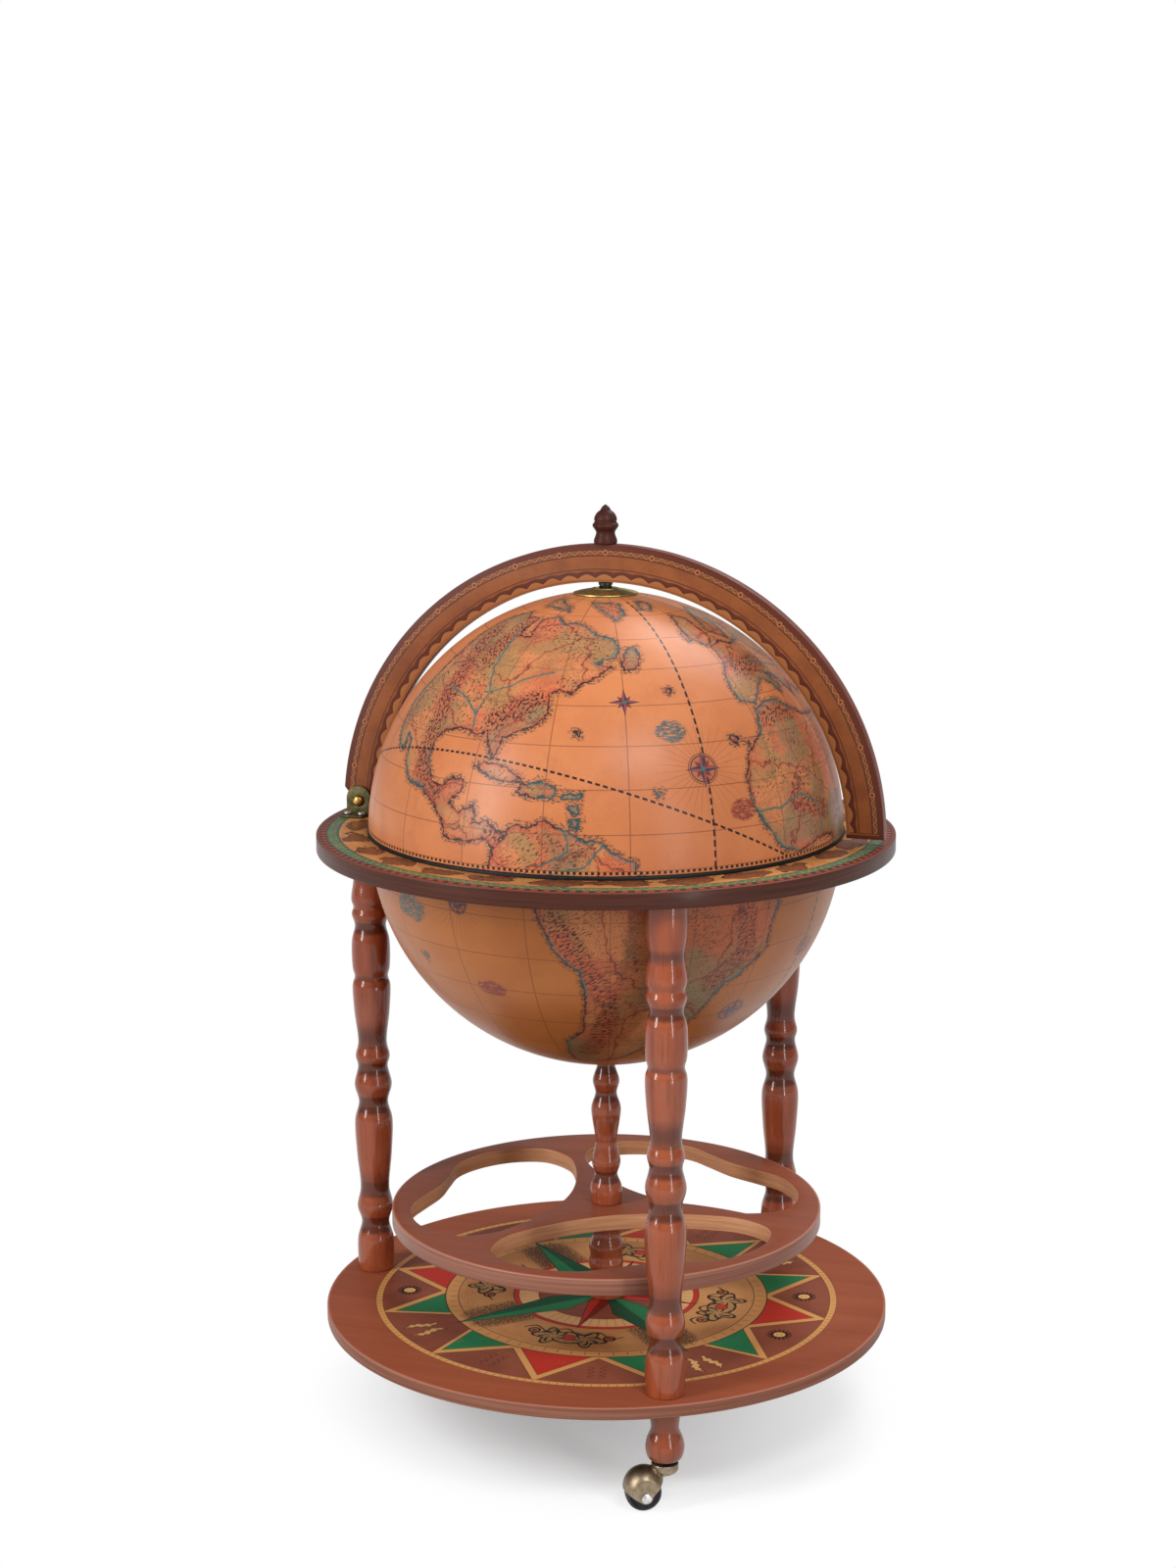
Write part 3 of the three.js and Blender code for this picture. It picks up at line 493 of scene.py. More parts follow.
def base_board():
    """Printed compass on the base disc: zigzag border, parchment ring and a star, on stained board."""
    finish = Finish("base_board", Roughness=0.5, Specular_IOR_Level=0.08)
    x, y, z = finish.axes()
    radius, angle = polar(x, y)
    print_edge, field_edge, parchment_edge, scale_edge = 206, 200, 144, 132.5
    hub_edge, hub_line, heart_edge = 83, 78, 60
    tip, bud_mark, leaf_mark, sun_mark = 203, 99, 107, 177
    board, fine = stain(finish, (158, 84, 56), (140, 70, 46))
    ochre, pale, ink = (206, 146, 86), (214, 164, 110), (38, 28, 24)
    green, deep_green = (34, 116, 72), (20, 76, 50)
    red, deep_red = (182, 48, 36), (124, 34, 30)
    brown = finish.noise(26, 4).tint((138, 74, 54), (122, 64, 46), 0.35)
    cross, _ = wedge(angle, 4)
    diagonal, _ = wedge(angle, 4, math.pi / 4)

    # Border of twelve triangles, open towards the diagonals
    turn, number = wedge(angle, 12)
    px, py = plane(radius, abs(turn))
    shut, opened = [
        side_of(px, py, (tip, 0), (valley * math.cos(math.pi / 12), valley * math.sin(math.pi / 12))) * scale
        for valley, scale in ((148, 1.0), (114, 1.77))
    ]
    zigzag = shut + (opened - shut) * abs(diagonal).before(math.radians(15), math.radians(0.1))
    printed = radius.before(print_edge + 0.25, 0.25)
    field = radius.before(field_edge)
    dots = finish.noise(420, 3).rise(0.5, 0.7) * 0.2
    colour = finish.layers(
        board,
        (printed, ochre),
        (field, brown),
        (zigzag.past(0) * printed, ochre),
        (zigzag.past(6.8) * field, dots.mix((number % 3).before(0.5, 0.1).mix(green, red), ink)),
        (zigzag.line(0.45, 0.25).either(zigzag.near(6.8, 0.45, 0.25)) * field * 0.75, ink),
        (radius.near(field_edge, 0.35, 0.2) * 0.6, ink),
        (radius.near(print_edge, 0.5, 0.25) * 0.7, (84, 44, 34)),
        (spokes(angle, radius, 180, 0.45, 0.2) * radius.within(201.6, 205) * 0.6, ink),
    )

    # Suns, scrolled sprigs and pen dashes, by turns, in the segments outside the zigzag
    aside, segment = wedge(angle, 12, math.pi / 12)
    kind = abs(segment % 6 - 2.5)
    sun_here, dash_here = kind > 2, kind < 1
    sprig_here = 1 - sun_here.either(dash_here)
    outwards, v = plane(radius, aside)
    u = outwards - sun_mark
    spot, bearing = polar(u, v)
    rays = (bearing * 16).sine().rise(-0.4, 0.2) * spot.within(5.0, 10.8, 0.5)
    swing = abs(v) - 8 - (u * 0.2).sine() * 2.2
    sprig = abs(swing) - (3.6 + (u * 0.9).sine() * 1.2) * (1 - u * u / 270)
    sprig = sprig * sprig_here + (1 - sprig_here) * 9
    dash = ((u * 0.9).sine() * 2.2 - abs(v) + 5).line(0.7, 0.4) * u.line(12, 1)
    colour = finish.layers(
        colour,
        (rays.either(spot.within(5.0, 7.4, 0.4)) * sun_here, (36, 18, 16)),
        (spot.before(5.2) * sun_here, (222, 170, 104)),
        (spot.near(2.4, 0.35, 0.2) * sun_here * 0.7, ink),
        (sprig.before(0), (206, 156, 98)),
        (sprig.line(0.55, 0.25) * 0.85, ink),
        (dash * dash_here * field * zigzag.fall(-2.0, -1.0) * 0.7, ink),
    )

    # Parchment ring
    parchment = finish.noise(14, 4).tint((194, 138, 84), (172, 114, 68), 0.35)
    du, dv = plane(radius, diagonal)
    cu, cv = plane(radius, cross)
    long_point = star_point(du, dv, 46, 17, 147.5)
    short_point = star_point(cu, cv, 22, 9, hub_edge)
    beside = (abs(dv) - 6).fall(4, 24) * radius.fall(118, 146) * radius.rise(82, 86)
    hatch = (finish.noise(640, 2) + beside * 0.14).rise(0.5, 0.56) * beside.rise(0.05, 0.4)
    speck = finish.noise(900, 2).rise(0.55, 0.6) * radius.within(118, 131, 6) * 0.6
    colour = finish.layers(
        colour,
        (radius.before(parchment_edge), (196, 138, 82)),
        (radius.before(scale_edge), parchment),
        (radius.near(scale_edge, 0.45, 0.25).either(radius.near(parchment_edge, 0.6, 0.25)) * 0.85, ink),
        (spokes(angle, radius, 72, 0.45, 0.2) * radius.within(134.5, 140.5) * 0.7, ink),
        (hatch.either(speck) * 0.85, (58, 38, 26)),
    )

    # Leafy scrolls in ink between the long points
    leaf_u, leaf_v = cu - leaf_mark, abs(cv) - 14
    leaf = (leaf_u * leaf_u / 1.2 + leaf_v * leaf_v * 0.7) ** 0.5
    leaf_angle = leaf_v.math("ARCTAN2", leaf_u)
    outline = leaf - (12.5 + (leaf_angle * 5).sine() * 3.6)
    veins = (leaf_angle * 7 + leaf * 0.5).sine().rise(0.45, 0.7) * leaf.within(3.0, 12, 0.5)
    vine = (cu - 94 - (cv * 0.22).sine() * 5).line(1.1, 0.35) * abs(cv).fall(44, 45)
    bud, bloom = reach(abs(cv) - 34, cu - bud_mark), reach(leaf_u, cv)
    colour = finish.layers(
        colour,
        (outline.fall(-0.5, 0) * 0.35, (84, 96, 62)),
        (vine.either(bud.near(4.6, 1.1, 0.3)).either(outline.line(1.25, 0.3)).either(veins), ink),
        (bud.before(2.6), deep_red),
        (bloom.before(5.25, 0.25), red),
        (bloom.near(5.4, 0.5, 0.25), ink),
    )

    # Rings of the centre and the star's points
    colour = finish.layers(
        colour,
        (radius.before(hub_edge), red),
        (radius.near(hub_edge, 0.5, 0.25).either(radius.near(hub_line, 0.4, 0.25)) * 0.8, ink),
        (radius.before(hub_line), pale),
        (spokes(angle, radius, 60, 0.5, 0.25) * radius.within(61, 77) * 0.35, deep_red),
        (radius.near(heart_edge, 0.8, 0.3), deep_red),
        (radius.before(heart_edge), brown),
        (long_point.rise(-0.2, 0.3), dv.past(0).mix(deep_green, green)),
        (short_point.rise(-0.2, 0.3), cv.past(0).mix(red, deep_red)),
        (long_point.line(0.5, 0.25).either(short_point.line(0.45, 0.25)) * 0.85, ink),
        (finish.noise(60, 4).rise(0.58, 0.75) * 0.2 * printed, (146, 94, 66)),
    )
    colour = finish.layers(
        fine.mix((120, 68, 50), (98, 54, 40)),
        (z.rise(BASE_TOP - 0.7, BASE_TOP - 0.4), colour),
        (finish.facing().fall(0.35, 0.8), edge_stain(finish)),
        # painted highlight along the disc's rounded upper edge
        (arris_highlight(z, radius, BASE_TOP - 0.8, BASE_RADIUS) * 0.7, (182, 126, 108)),
    )
    return finish.done(colour, 0.36 + fine * 0.14, fine, 0.06, 0.0004)


def ring_board():
    """Printed horizon ring: gilt field with brown islands, a green band and a checked border."""
    finish = Finish("ring_board", Roughness=0.42, Specular_IOR_Level=0.15,
                    Coat_Weight=0.12, Coat_Roughness=0.2)
    x, y, z = finish.axes()
    radius, angle = polar(x, y)
    band_edge, check_edge, rim_edge = 231, 241.5, 246.5
    wobble, drift = finish.noise(95, 4, 0.65) - 0.5, finish.noise(34) - 0.5
    mottle, fine = finish.noise(60, 4), finish.noise(330, 3)
    along = wedge(angle, 26)[0] * radius
    island = reach((radius - 216.5) / 11, along / 22) + wobble * 1.3 + drift * 2.4
    curls = ((along * 0.75 + wobble * 7).sine() * 2.6 - (radius - 236.2)).line(0.7, 0.35)
    inked = [radius.near(edge, 0.45, 0.25) for edge in (band_edge, check_edge, rim_edge)]
    colour = finish.layers(
        mottle.tint((204, 142, 84), (186, 120, 68), 0.35),
        (island.before(0.9, 0.04) * 0.9, fine.tint((96, 52, 36), (132, 76, 48), 0.42, 0.6)),
        (island.near(0.9, 0.07, 0.03) * 0.9, (66, 36, 28)),
        (island.near(0.5, 0.04, 0.03) * 0.6, (86, 46, 34)),
        (island.near(1.22, 0.03, 0.02) * 0.5, (120, 66, 42)),
        (radius.past(band_edge), mottle.tint((58, 104, 80), (84, 114, 76), 0.42, 0.6)),
        (curls * radius.within(232, 240.6) * 0.75, (186, 142, 88)),
        (radius.past(check_edge), (angle * 150).sine().past(0, 0.12).mix((58, 34, 30), (166, 62, 46))),
        (radius.past(rim_edge), (112, 60, 46)),
        (inked[0].either(inked[1]).either(inked[2]) * 0.8, (48, 32, 28)),
    )
    grain = finish.streaks(9, 9, 420)
    edge = grain.tint((66, 32, 22), (84, 44, 31))
    colour = z.rise(RING_TOP - 0.6, RING_TOP - 0.35).mix(edge, colour)
    return finish.done(colour, 0.36 + mottle * 0.1, grain, 0.04, 0.0004)


def arc_board():
    """Printed meridian arc: dark borders, a chain, a plain field and a scalloped band."""
    finish = Finish("arc_board", Roughness=0.5, Coat_Weight=0.04, Coat_Roughness=0.25, Specular_IOR_Level=0.2)
    x, y, z = finish.axes()
    x, z = x - ARC_SHIFT, z - ARC_CENTRE
    radius, angle = polar(x, z)
    across = radius - ARC_INNER
    field_edge, chain_line, chain_edge, border_edge, foot_line = 22.4, 25.1, 27.6, 28, 8.2
    grain, speck = finish.noise(40, 4.0, 0.6), finish.noise(240, 3, 0.6)
    dark, ink, pale = (92, 42, 28), (60, 30, 24), (166, 104, 60)
    field = (speck.rise(0.55, 0.75) * 0.4).mix(grain.tint((142, 80, 42), (124, 67, 35), 0.35), (112, 62, 40))
    wave = (angle * ARC_OUTER / 1.5).sine() * 1.3
    beside = across - chain_line
    chain = (beside - wave).line(0.45, 0.25).either((beside + wave).line(0.3, 0.2) * 0.6)
    arch = abs((angle * ARC_INNER / 4.95).sine()) * 3.4 + 3.8
    scallop, shadow = across - arch, across - arch * 0.35 - 6.9
    lines = [across.near(edge, 0.4, 0.2) for edge in (field_edge, 10.9, chain_edge)]
    bead = reach(wedge(angle, 36)[0] * ARC_OUTER, beside)
    end, board = x > 0, across.within(3, 28.2)
    colour = finish.layers(
        field,
        (across.within(field_edge, chain_edge), (112, 62, 38)),
        (chain, pale),
        (shadow.before(0, 0.3), dark),
        (scallop.before(0, 0.3), (158, 96, 54)),
        (scallop.line(0.5, 0.25) * 0.8, ink),
        (scallop.near(-1.7, 0.45, 0.25) * 0.5, pale),
        (across.near(1.6, 0.4, 0.2) * 0.5, ink),
        (lines[0].either(lines[1]).either(lines[2]) * 0.85, ink),
        (across.past(border_edge), dark),
        (bead.before(2.8), dark),
        (bead.near(1.9, 0.6, 0.3), pale),
        (end * z.before(foot_line + 0.2) * board, field),
        (end * z.before(foot_line - 1.6), dark),
        (end * z.before(foot_line + 0.2) * z.near(foot_line, 0.35, 0.2) * board, ink),
    )
    colour = finish.facing("Y").rise(0.5, 0.9).mix(grain.tint((100, 52, 42), (122, 70, 58)), colour)
    return finish.done(colour, 0.38 + grain * 0.12, grain, 0.04, 0.0004)


def unit(longitude, latitude):
    lon, lat = math.radians(longitude), math.radians(latitude)
    return Vector((math.cos(lat) * math.cos(lon), math.cos(lat) * math.sin(lon), math.sin(lat)))


def globe_print(name, centre, radius, map_turn, grid, dashed, water, roses, waves, rim=None):
    """Antique map: orange sea with a graticule, hatched coasts, tinted lands, dashed circles, wind roses."""
    finish = Finish(name, Roughness=0.42, Coat_Weight=0.26, Coat_Roughness=0.3, Specular_IOR_Level=0.2)
    local = finish.vector("SUBTRACT", finish.place, (0, 0, centre * MM))
    x, y, z = finish.axes(local, radius * MM)
    longitude = (y.math("ARCTAN2", x) + math.radians(map_turn)) / math.radians(1)
    latitude = z.math("ARCSINE") / math.radians(1)
    round_here = (1 - z * z) ** 0.5
    degree = radius * math.radians(1)
    east, north = longitude * round_here * degree, latitude * degree

    def pen(along, across, lean=0.0):
        """Pen strokes from 0 to 1, long along one way and thin across it."""
        u, v = (east + north * lean) * along, (north - east * lean) * across
        return finish.noise(1.0, place=finish.node("CombineXYZ", {}, u, v, 0.0))

    def moved(x_shift, scale, detail=3.0):
        return finish.noise(scale, detail, 0.55, finish.vector("ADD", local, (x_shift, 1.3, 0.4)))

    def cells(place, scale):
        edges = {"feature": "DISTANCE_TO_EDGE"}
        return finish.node("TexVoronoi", edges, Vector=place, Scale=scale).out("Distance")

    def toward(way):
        """Distance from the globe's centre along a direction."""
        return finish.vector("DOT_PRODUCT", local, tuple(way), out="Value") / MM

    jag = (finish.noise(75, 5, 0.65) - 0.5) * 8 + (finish.noise(300, 3, 0.6) - 0.5) * 5
    coast = finish.attribute("coast") + jag
    land = coast.past(0)
    age, blot, fine = finish.noise(9, 5, 0.6), finish.noise(34, 4, 0.65), finish.noise(520, 3, 0.6)

    # Sea
    parallels = abs((latitude + 0.001) % 10 - 5).near(5, 0.12, 0.06)
    meridians = (abs((longitude - grid) % 20 - 10) - 10) * round_here * -1
    graticule = parallels.either(meridians.fall(0.08, 0.19)) * abs(latitude).fall(82, 83)
    colour = finish.layers(
        age.tint(*water, 0.35, 0.65),
        (blot.rise(0.48, 0.72) * 0.4, (184, 104, 62)),
        (fine.rise(0.55, 0.7) * 0.18, (150, 88, 56)),
        (graticule * 0.62, (112, 60, 40)),
        (coast.rise(-5.0, 0.5) * (1 - land) * 0.3, (112, 78, 60)),
        (coast.rise(-5.0, -2.8) * (1 - land) * pen(0.3, 0.7).rise(0.5, 0.55) * 0.75, (66, 50, 44)),
    )

    # Land: soft tints, bordered provinces, forests and ranges in pen strokes, rivers
    warp = finish.vector("SCALE", finish.noise(38, 4, 0.6, kind="Color"), Scale=0.03)
    warped = finish.vector("ADD", local, warp)
    border, small = cells(warped, 13.0), cells(warped, 34.0)
    chain = finish.attribute("chain")
    river = finish.attribute("river") + (finish.noise(110, 3, 0.6) - 0.5) * 5
    wild = moved(7.7, 26).rise(0.46, 0.54)
    ground = finish.layers(
        (206, 128, 80),
        (moved(0.2, 16).rise(0.44, 0.56) * 0.75, (160, 124, 78)),
        (moved(2.1, 19).rise(0.48, 0.58) * 0.7, (206, 104, 70)),
        (moved(4.7, 13).rise(0.5, 0.6) * 0.7, (128, 116, 84)),
        (blot.rise(0.44, 0.68) * 0.4, (146, 92, 58)),
        (fine.rise(0.52, 0.68) * 0.3, (92, 58, 42)),
        (border.fall(0.0, 0.05) * 0.35, (184, 76, 56)),
        (border.line(0.008, 0.004) * 0.7, (84, 50, 44)),
        (small.line(0.012, 0.007) * 0.35, (96, 60, 48)),
        (pen(0.2, 0.6, 0.6).rise(0.56, 0.6) * wild * 0.8, (66, 44, 38)),
        (pen(0.5, 0.5).rise(0.62, 0.66) * (1 - wild) * 0.7, (70, 48, 40)),
        (chain.fall(3, 14) * 0.4, (186, 84, 58)),
        (pen(0.2, 0.5, 0.75).rise(0.51, 0.56) * (chain + blot * 14).fall(14, 19) * 0.95, (66, 34, 30)),
        (river.line(1.7, 1.2) * 0.35, (112, 112, 90)),
        (river.line(0.65, 0.25) * 0.9, (54, 96, 96)),
    )
    tealed = moved(9.1, 9, 1).rise(0.5, 0.54)
    colour = finish.layers(
        colour,
        (land, ground),
        (land * coast.fall(0.8, 4.6) * 0.6, tealed.mix((176, 66, 48), (72, 100, 94))),
        (graticule * land * 0.45, (88, 52, 38)),
        (coast.near(0.2, 0.8, 0.25), (tealed * 0.7).mix((48, 38, 40), (50, 84, 86))),
    )

    # Patches of waves
    for lon, lat, wide, high, tint in waves:
        across, up = (longitude - lon) / wide, (latitude - lat) / high
        here = (across * across + up * up + (blot - 0.5) * 2.2).fall(0.55, 0.95)
        colour = finish.layers(colour, (here * pen(0.16, 0.8).rise(0.4, 0.47) * 0.85, tint),
                               (here * pen(0.22, 1.1, 0.15).rise(0.56, 0.6) * 0.9, (48, 42, 40)))

    # Dashed circles: the ecliptic and one meridian
    tilt, peak = math.radians(DASHED_TILT), math.radians(DASHED_PEAK - map_turn)
    off = toward((-math.sin(tilt) * math.cos(peak), -math.sin(tilt) * math.sin(peak), math.cos(tilt)))
    ecliptic = off.line(0.95, 0.25) * ((longitude + 400) % 1.85).fall(1.1, 1.25)
    aside = (longitude - dashed) * round_here * degree
    meridian = aside.line(0.95, 0.25) * ((latitude + 90) % 2.35).fall(1.45, 1.6)
    colour = (ecliptic.either(meridian) * abs(latitude).fall(78, 79)).mix(colour, (32, 20, 20))

    # Wind roses
    for lon, lat, size, ringed in roses:
        out, east_way = unit(lon - map_turn, lat), unit(lon - map_turn + 90, 0)
        u, v, w = toward(east_way), toward(out.cross(east_way)), toward(out)
        here = w > 0
        ring_here = here * ringed
        far, bearing = polar(u, v)
        fold, _ = wedge(bearing, 4)
        between, _ = wedge(bearing, 4, math.pi / 4)
        main = star_point(*plane(far, fold), size * .24, size * .17, size)
        less = star_point(*plane(far, between), size * .22, size * .14, size * .6)
        shade = fold.past(0, 0.02)
        rings = far.near(size * .72, 0.55, 0.2).either(far.near(size * .84, 0.3, 0.2))
        beams = far.fall(size * 1.6, size * 3.4) * spokes(bearing, far, 32, 0.22, 0.12)
        colour = finish.layers(
            colour,
            (beams * ring_here * 0.5, (112, 64, 46)),
            (rings * ring_here, (66, 44, 52)),
            (far.fall(size * .6, size * .72) * ring_here * 0.3, (150, 60, 54)),
            (less.past(0) * here, shade.mix((150, 56, 48), (96, 40, 44))),
            (main.past(0) * here, shade.mix((54, 56, 84), (158, 72, 62))),
            (main.line(0.22, 0.12).either(less.line(0.22, 0.12)) * here * 0.7, (44, 34, 40)),
            (far.fall(size * .13, size * .16) * here, (64, 104, 84)),
        )

    # Scale of black and gilt dashes round the dome's rim
    if rim:
        x, y, z = finish.axes()
        low, high = rim
        dashes = (y.math("ARCTAN2", x) * 266).sine().past(0, 0.15)
        colour = finish.layers(colour, (z.within(low, high, 0.12), dashes.mix((196, 124, 76), (34, 24, 22))),
                               (z.within(high, high + 0.5, 0.12) * 0.6, (44, 30, 26)))
    return finish.done(colour, 0.38 + age * 0.12, age + fine * 0.2, 0.04, 0.0006)


def shell_lining():
    """Plain varnished lining inside the globe."""
    finish = Finish("shell_lining", Roughness=0.42, Coat_Weight=0.2)
    cloud, fine = finish.noise(18, 4, 0.6), finish.noise(500)
    colour = (fine.rise(0.5, 0.8) * 0.2).mix(cloud.tint((150, 92, 62), (126, 74, 50)), (96, 56, 40))
    return finish.done(colour, 0.36 + cloud * 0.2, fine, 0.08, 0.0003)


def plain_wood():
    finish = Finish("plain_wood", Roughness=0.5)
    broad, fine = finish.wood_grain("X", 0.7)
    colour = (fine.rise(0.5, 0.75) * 0.4).mix(broad.tint((196, 142, 98), (172, 116, 76)), (140, 90, 58))
    return finish.done(colour, 0.42 + fine * 0.2, fine, 0.1, 0.0005)


def metal(name, light, dark, rough):
    """Metal with tarnish in soft patches and fine scratches."""
    finish = Finish(name, Metallic=1.0, Roughness=rough)
    patches, scratches = finish.noise(200, 4, 0.6), finish.streaks(4000, 900, 400, 3, 0.7)
    colour = (scratches.rise(0.6, 0.8) * 0.25).mix(patches.tint(light, dark, 0.35), dark)
    return finish.done(colour, rough + patches * 0.16, scratches, 0.03, 0.0002)


def rubber(name, light, dark, rough):
    finish = Finish(name, Roughness=rough, Specular_IOR_Level=0.25)
    grain, dust = finish.noise(700, 3), finish.noise(60, 4, 0.6)
    colour = (dust.rise(0.6, 0.8) * 0.25).mix(grain.tint(light, dark), (96, 92, 90))
    return finish.done(colour, rough + dust * 0.2, grain, 0.1, 0.0002)


# Outlines and profiles

def bend(radius, start, stop, count, x=0.0, y=0.0):
    """Points on a circle about (x, y), from one angle in degrees to another."""
    turns = np.radians(np.linspace(start, stop, count))
    return [(x + radius * math.cos(turn), y + radius * math.sin(turn)) for turn in turns]


def circle(radius, x=0.0, y=0.0, count=96):
    return bend(radius, 0, 360, count + 1, x, y)[:-1]


def mirrored(half, middle=0.0):
    """A profile from its upper half, given up from the middle."""
    return [(out, middle - up) for out, up in half[::-1]] + [(out, middle + up) for out, up in half]


def rounded_ring(inner, outer, low, high, arris):
    """Closed profile of a flat ring with rounded corners, up the outer side."""
    profile = []
    for x, z, start in ((outer, low, -90), (outer, high, 0), (inner, high, 90), (inner, low, 180)):
        profile += bend(arris, start, start + 90, 5, x - arris if x == outer else x + arris,
                        z - arris if z == high else z + arris)
    return profile


def centripetal(points, steps):
    """A smooth curve through points, run with steps to each span."""
    points = [np.array(p, float) for p in points]
    curve = []
    for i in range(len(points) - 1):
        b, c = points[i], points[i + 1]
        a = points[i - 1] if i else 2 * b - c
        d = points[i + 2] if i + 2 < len(points) else 2 * c - b
        ab, bc, cd = [max(np.linalg.norm(q - p), 1e-9) ** 0.5 for p, q in ((a, b), (b, c), (c, d))]
        start = ((b - a) / ab - (c - a) / (ab + bc) + (c - b) / bc) * bc
        end = ((c - b) / bc - (d - b) / (bc + cd) + (d - c) / cd) * bc
        square, cube = 3 * (c - b) - 2 * start - end, 2 * (b - c) + start + end
        for step in range(steps):
            t = step / steps
            curve.append(b + start * t + square * t * t + cube * t ** 3)
    return curve + [points[-1]]


# Meshes

def mesh_from(name, verts, faces):
    mesh = bpy.data.meshes.new(name)
    mesh.from_pydata([tuple(v) for v in verts], [], faces)
    mesh.update()
    return mesh


def built(name, work, *sources):
    """A mesh from bmesh work on the sources joined."""
    build = bmesh.new()
    for source in sources:
        build.from_mesh(source)
    work(build)
    mesh = bpy.data.meshes.new(name)
    build.to_mesh(mesh)
    build.free()
    return mesh


def moved_mesh(mesh, matrix):
    mesh.transform(matrix)
    mesh.update()
    return mesh


def lathe_mesh(name, profile, segments):
    """A revolve about Z of (radius, height) points up the outer side, closed where no end is on the axis."""
    turns = np.arange(segments) * TURN / segments
    verts, rings = [], []
    for radius, height in profile:
        if radius < 1e-6:
            rings.append([len(verts)] * segments)
            verts.append((0, 0, height * MM))
        else:
            rings.append(list(range(len(verts), len(verts) + segments)))
            verts += [(radius * MM * math.cos(a), radius * MM * math.sin(a), height * MM) for a in turns]
    if min(profile[0][0], profile[-1][0]) > 0:
        rings.append(rings[0])
    faces = []
    for low, high in zip(rings, rings[1:]):
        for i in range(segments):
            j = (i + 1) % segments
            face = [low[i], low[j], high[j], high[i]]
            face = [v for k, v in enumerate(face) if v != face[k - 1]]
            if len(face) > 2:
                faces.append(face)
    return mesh_from(name, verts, faces)


def turned_mesh(name, shares, height, radius, low, segments=48, steps=8, arris=0.8):
    """A turned piece through its shares, with softened ends and a note of how deep each cove lies."""
    curve = centripetal([(out * radius, low + up * height) for up, out in shares], steps)
    profile = [(max(float(out), 0.0), float(up)) for out, up in curve]
    (foot, bottom), (head, top) = profile[0], profile[-1]
    start = [(0, bottom), (foot - arris, bottom), (foot - arris * .3, bottom + arris * .3)]
    end = [(head - arris * .3, top - arris * .3), (head - arris, top), (0, top)] if head >= 1 else []
    body = [p for p in profile if bottom + arris <= p[1] <= top - (arris if end else 0)]
    mesh = lathe_mesh(name, start + body + end, segments)
    radii, levels = np.array(profile).T
    heights = np.array([v.co.z for v in mesh.vertices]) / MM
    shifts = np.linspace(-0.05, 0.05, 9) * height
    around = np.max([np.interp(heights + shift, levels, radii) for shift in shifts], axis=0)
    depth = np.clip((around - np.interp(heights, levels, radii)) / (0.16 * radius), 0, 1)
    mesh.attributes.new("cove", "FLOAT", "POINT").data.foreach_set("value", depth.astype(np.float32))
    return mesh


def flat_plate(name, outlines, low, high, arris=0.5, upright=False):
    """A plate of the given outlines, the first its edge and the rest its holes, with soft arrises."""
    curve = bpy.data.curves.new(name, "CURVE")
    curve.dimensions = "2D"
    curve.fill_mode = "BOTH"
    curve.extrude = ((high - low) / 2 - arris) * MM
    curve.bevel_depth = arris * MM
    curve.bevel_resolution = 2
    curve.offset = -arris * MM
    for outline in outlines:
        spline = curve.splines.new("POLY")
        spline.points.add(len(outline) - 1)
        for point, (x, y) in zip(spline.points, outline):
            point.co = (x * MM, y * MM, 0, 1)
        spline.use_cyclic_u = True
    place = Matrix.Translation((0, 0, (low + high) / 2 * MM))
    if upright:
        place = Matrix.Rotation(math.pi / 2, 4, "X") @ place

    def close_and_place(build):
        bmesh.ops.remove_doubles(build, verts=build.verts, dist=2e-6)
        bmesh.ops.transform(build, matrix=place, verts=build.verts)
        bmesh.ops.recalc_face_normals(build, faces=build.faces)

    made = linked(name, curve)
    mesh = built(name, close_and_place, evaluated(made))
    bpy.data.objects.remove(made)
    return mesh


# Objects

def linked(name, data):
    made = bpy.data.objects.new(name, data)
    bpy.context.scene.collection.objects.link(made)
    return made


def evaluated(made):
    """An object with its modifiers run, as a mesh of its own."""
    graph = bpy.context.evaluated_depsgraph_get()
    return bpy.data.meshes.new_from_object(made.evaluated_get(graph))


def plain(made):
    """The object with its modifiers run and gone."""
    mesh = evaluated(made)
    made.modifiers.clear()
    made.data = mesh
    return made


def place_object(name, mesh, *materials):
    for material in materials:
        mesh.materials.append(material)
    return linked(name, mesh)


def finish_piece(made, body, slot, *nodes, smooth=35):
    """Smooth shading with sharp edges past an angle, then the piece joins its body."""
    made.data.polygons.foreach_set("use_smooth", [True] * len(made.data.polygons))
    made.data.set_sharp_from_angle(angle=math.radians(smooth))
    made.data.update()
    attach(made, body)
    if nodes:
        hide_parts(*nodes)


def piece(name, mesh, materials, body, slot, *nodes, smooth=35):
    finish_piece(place_object(name, mesh, *materials), body, slot, *nodes, smooth=smooth)


# Repeats, as Geometry Nodes

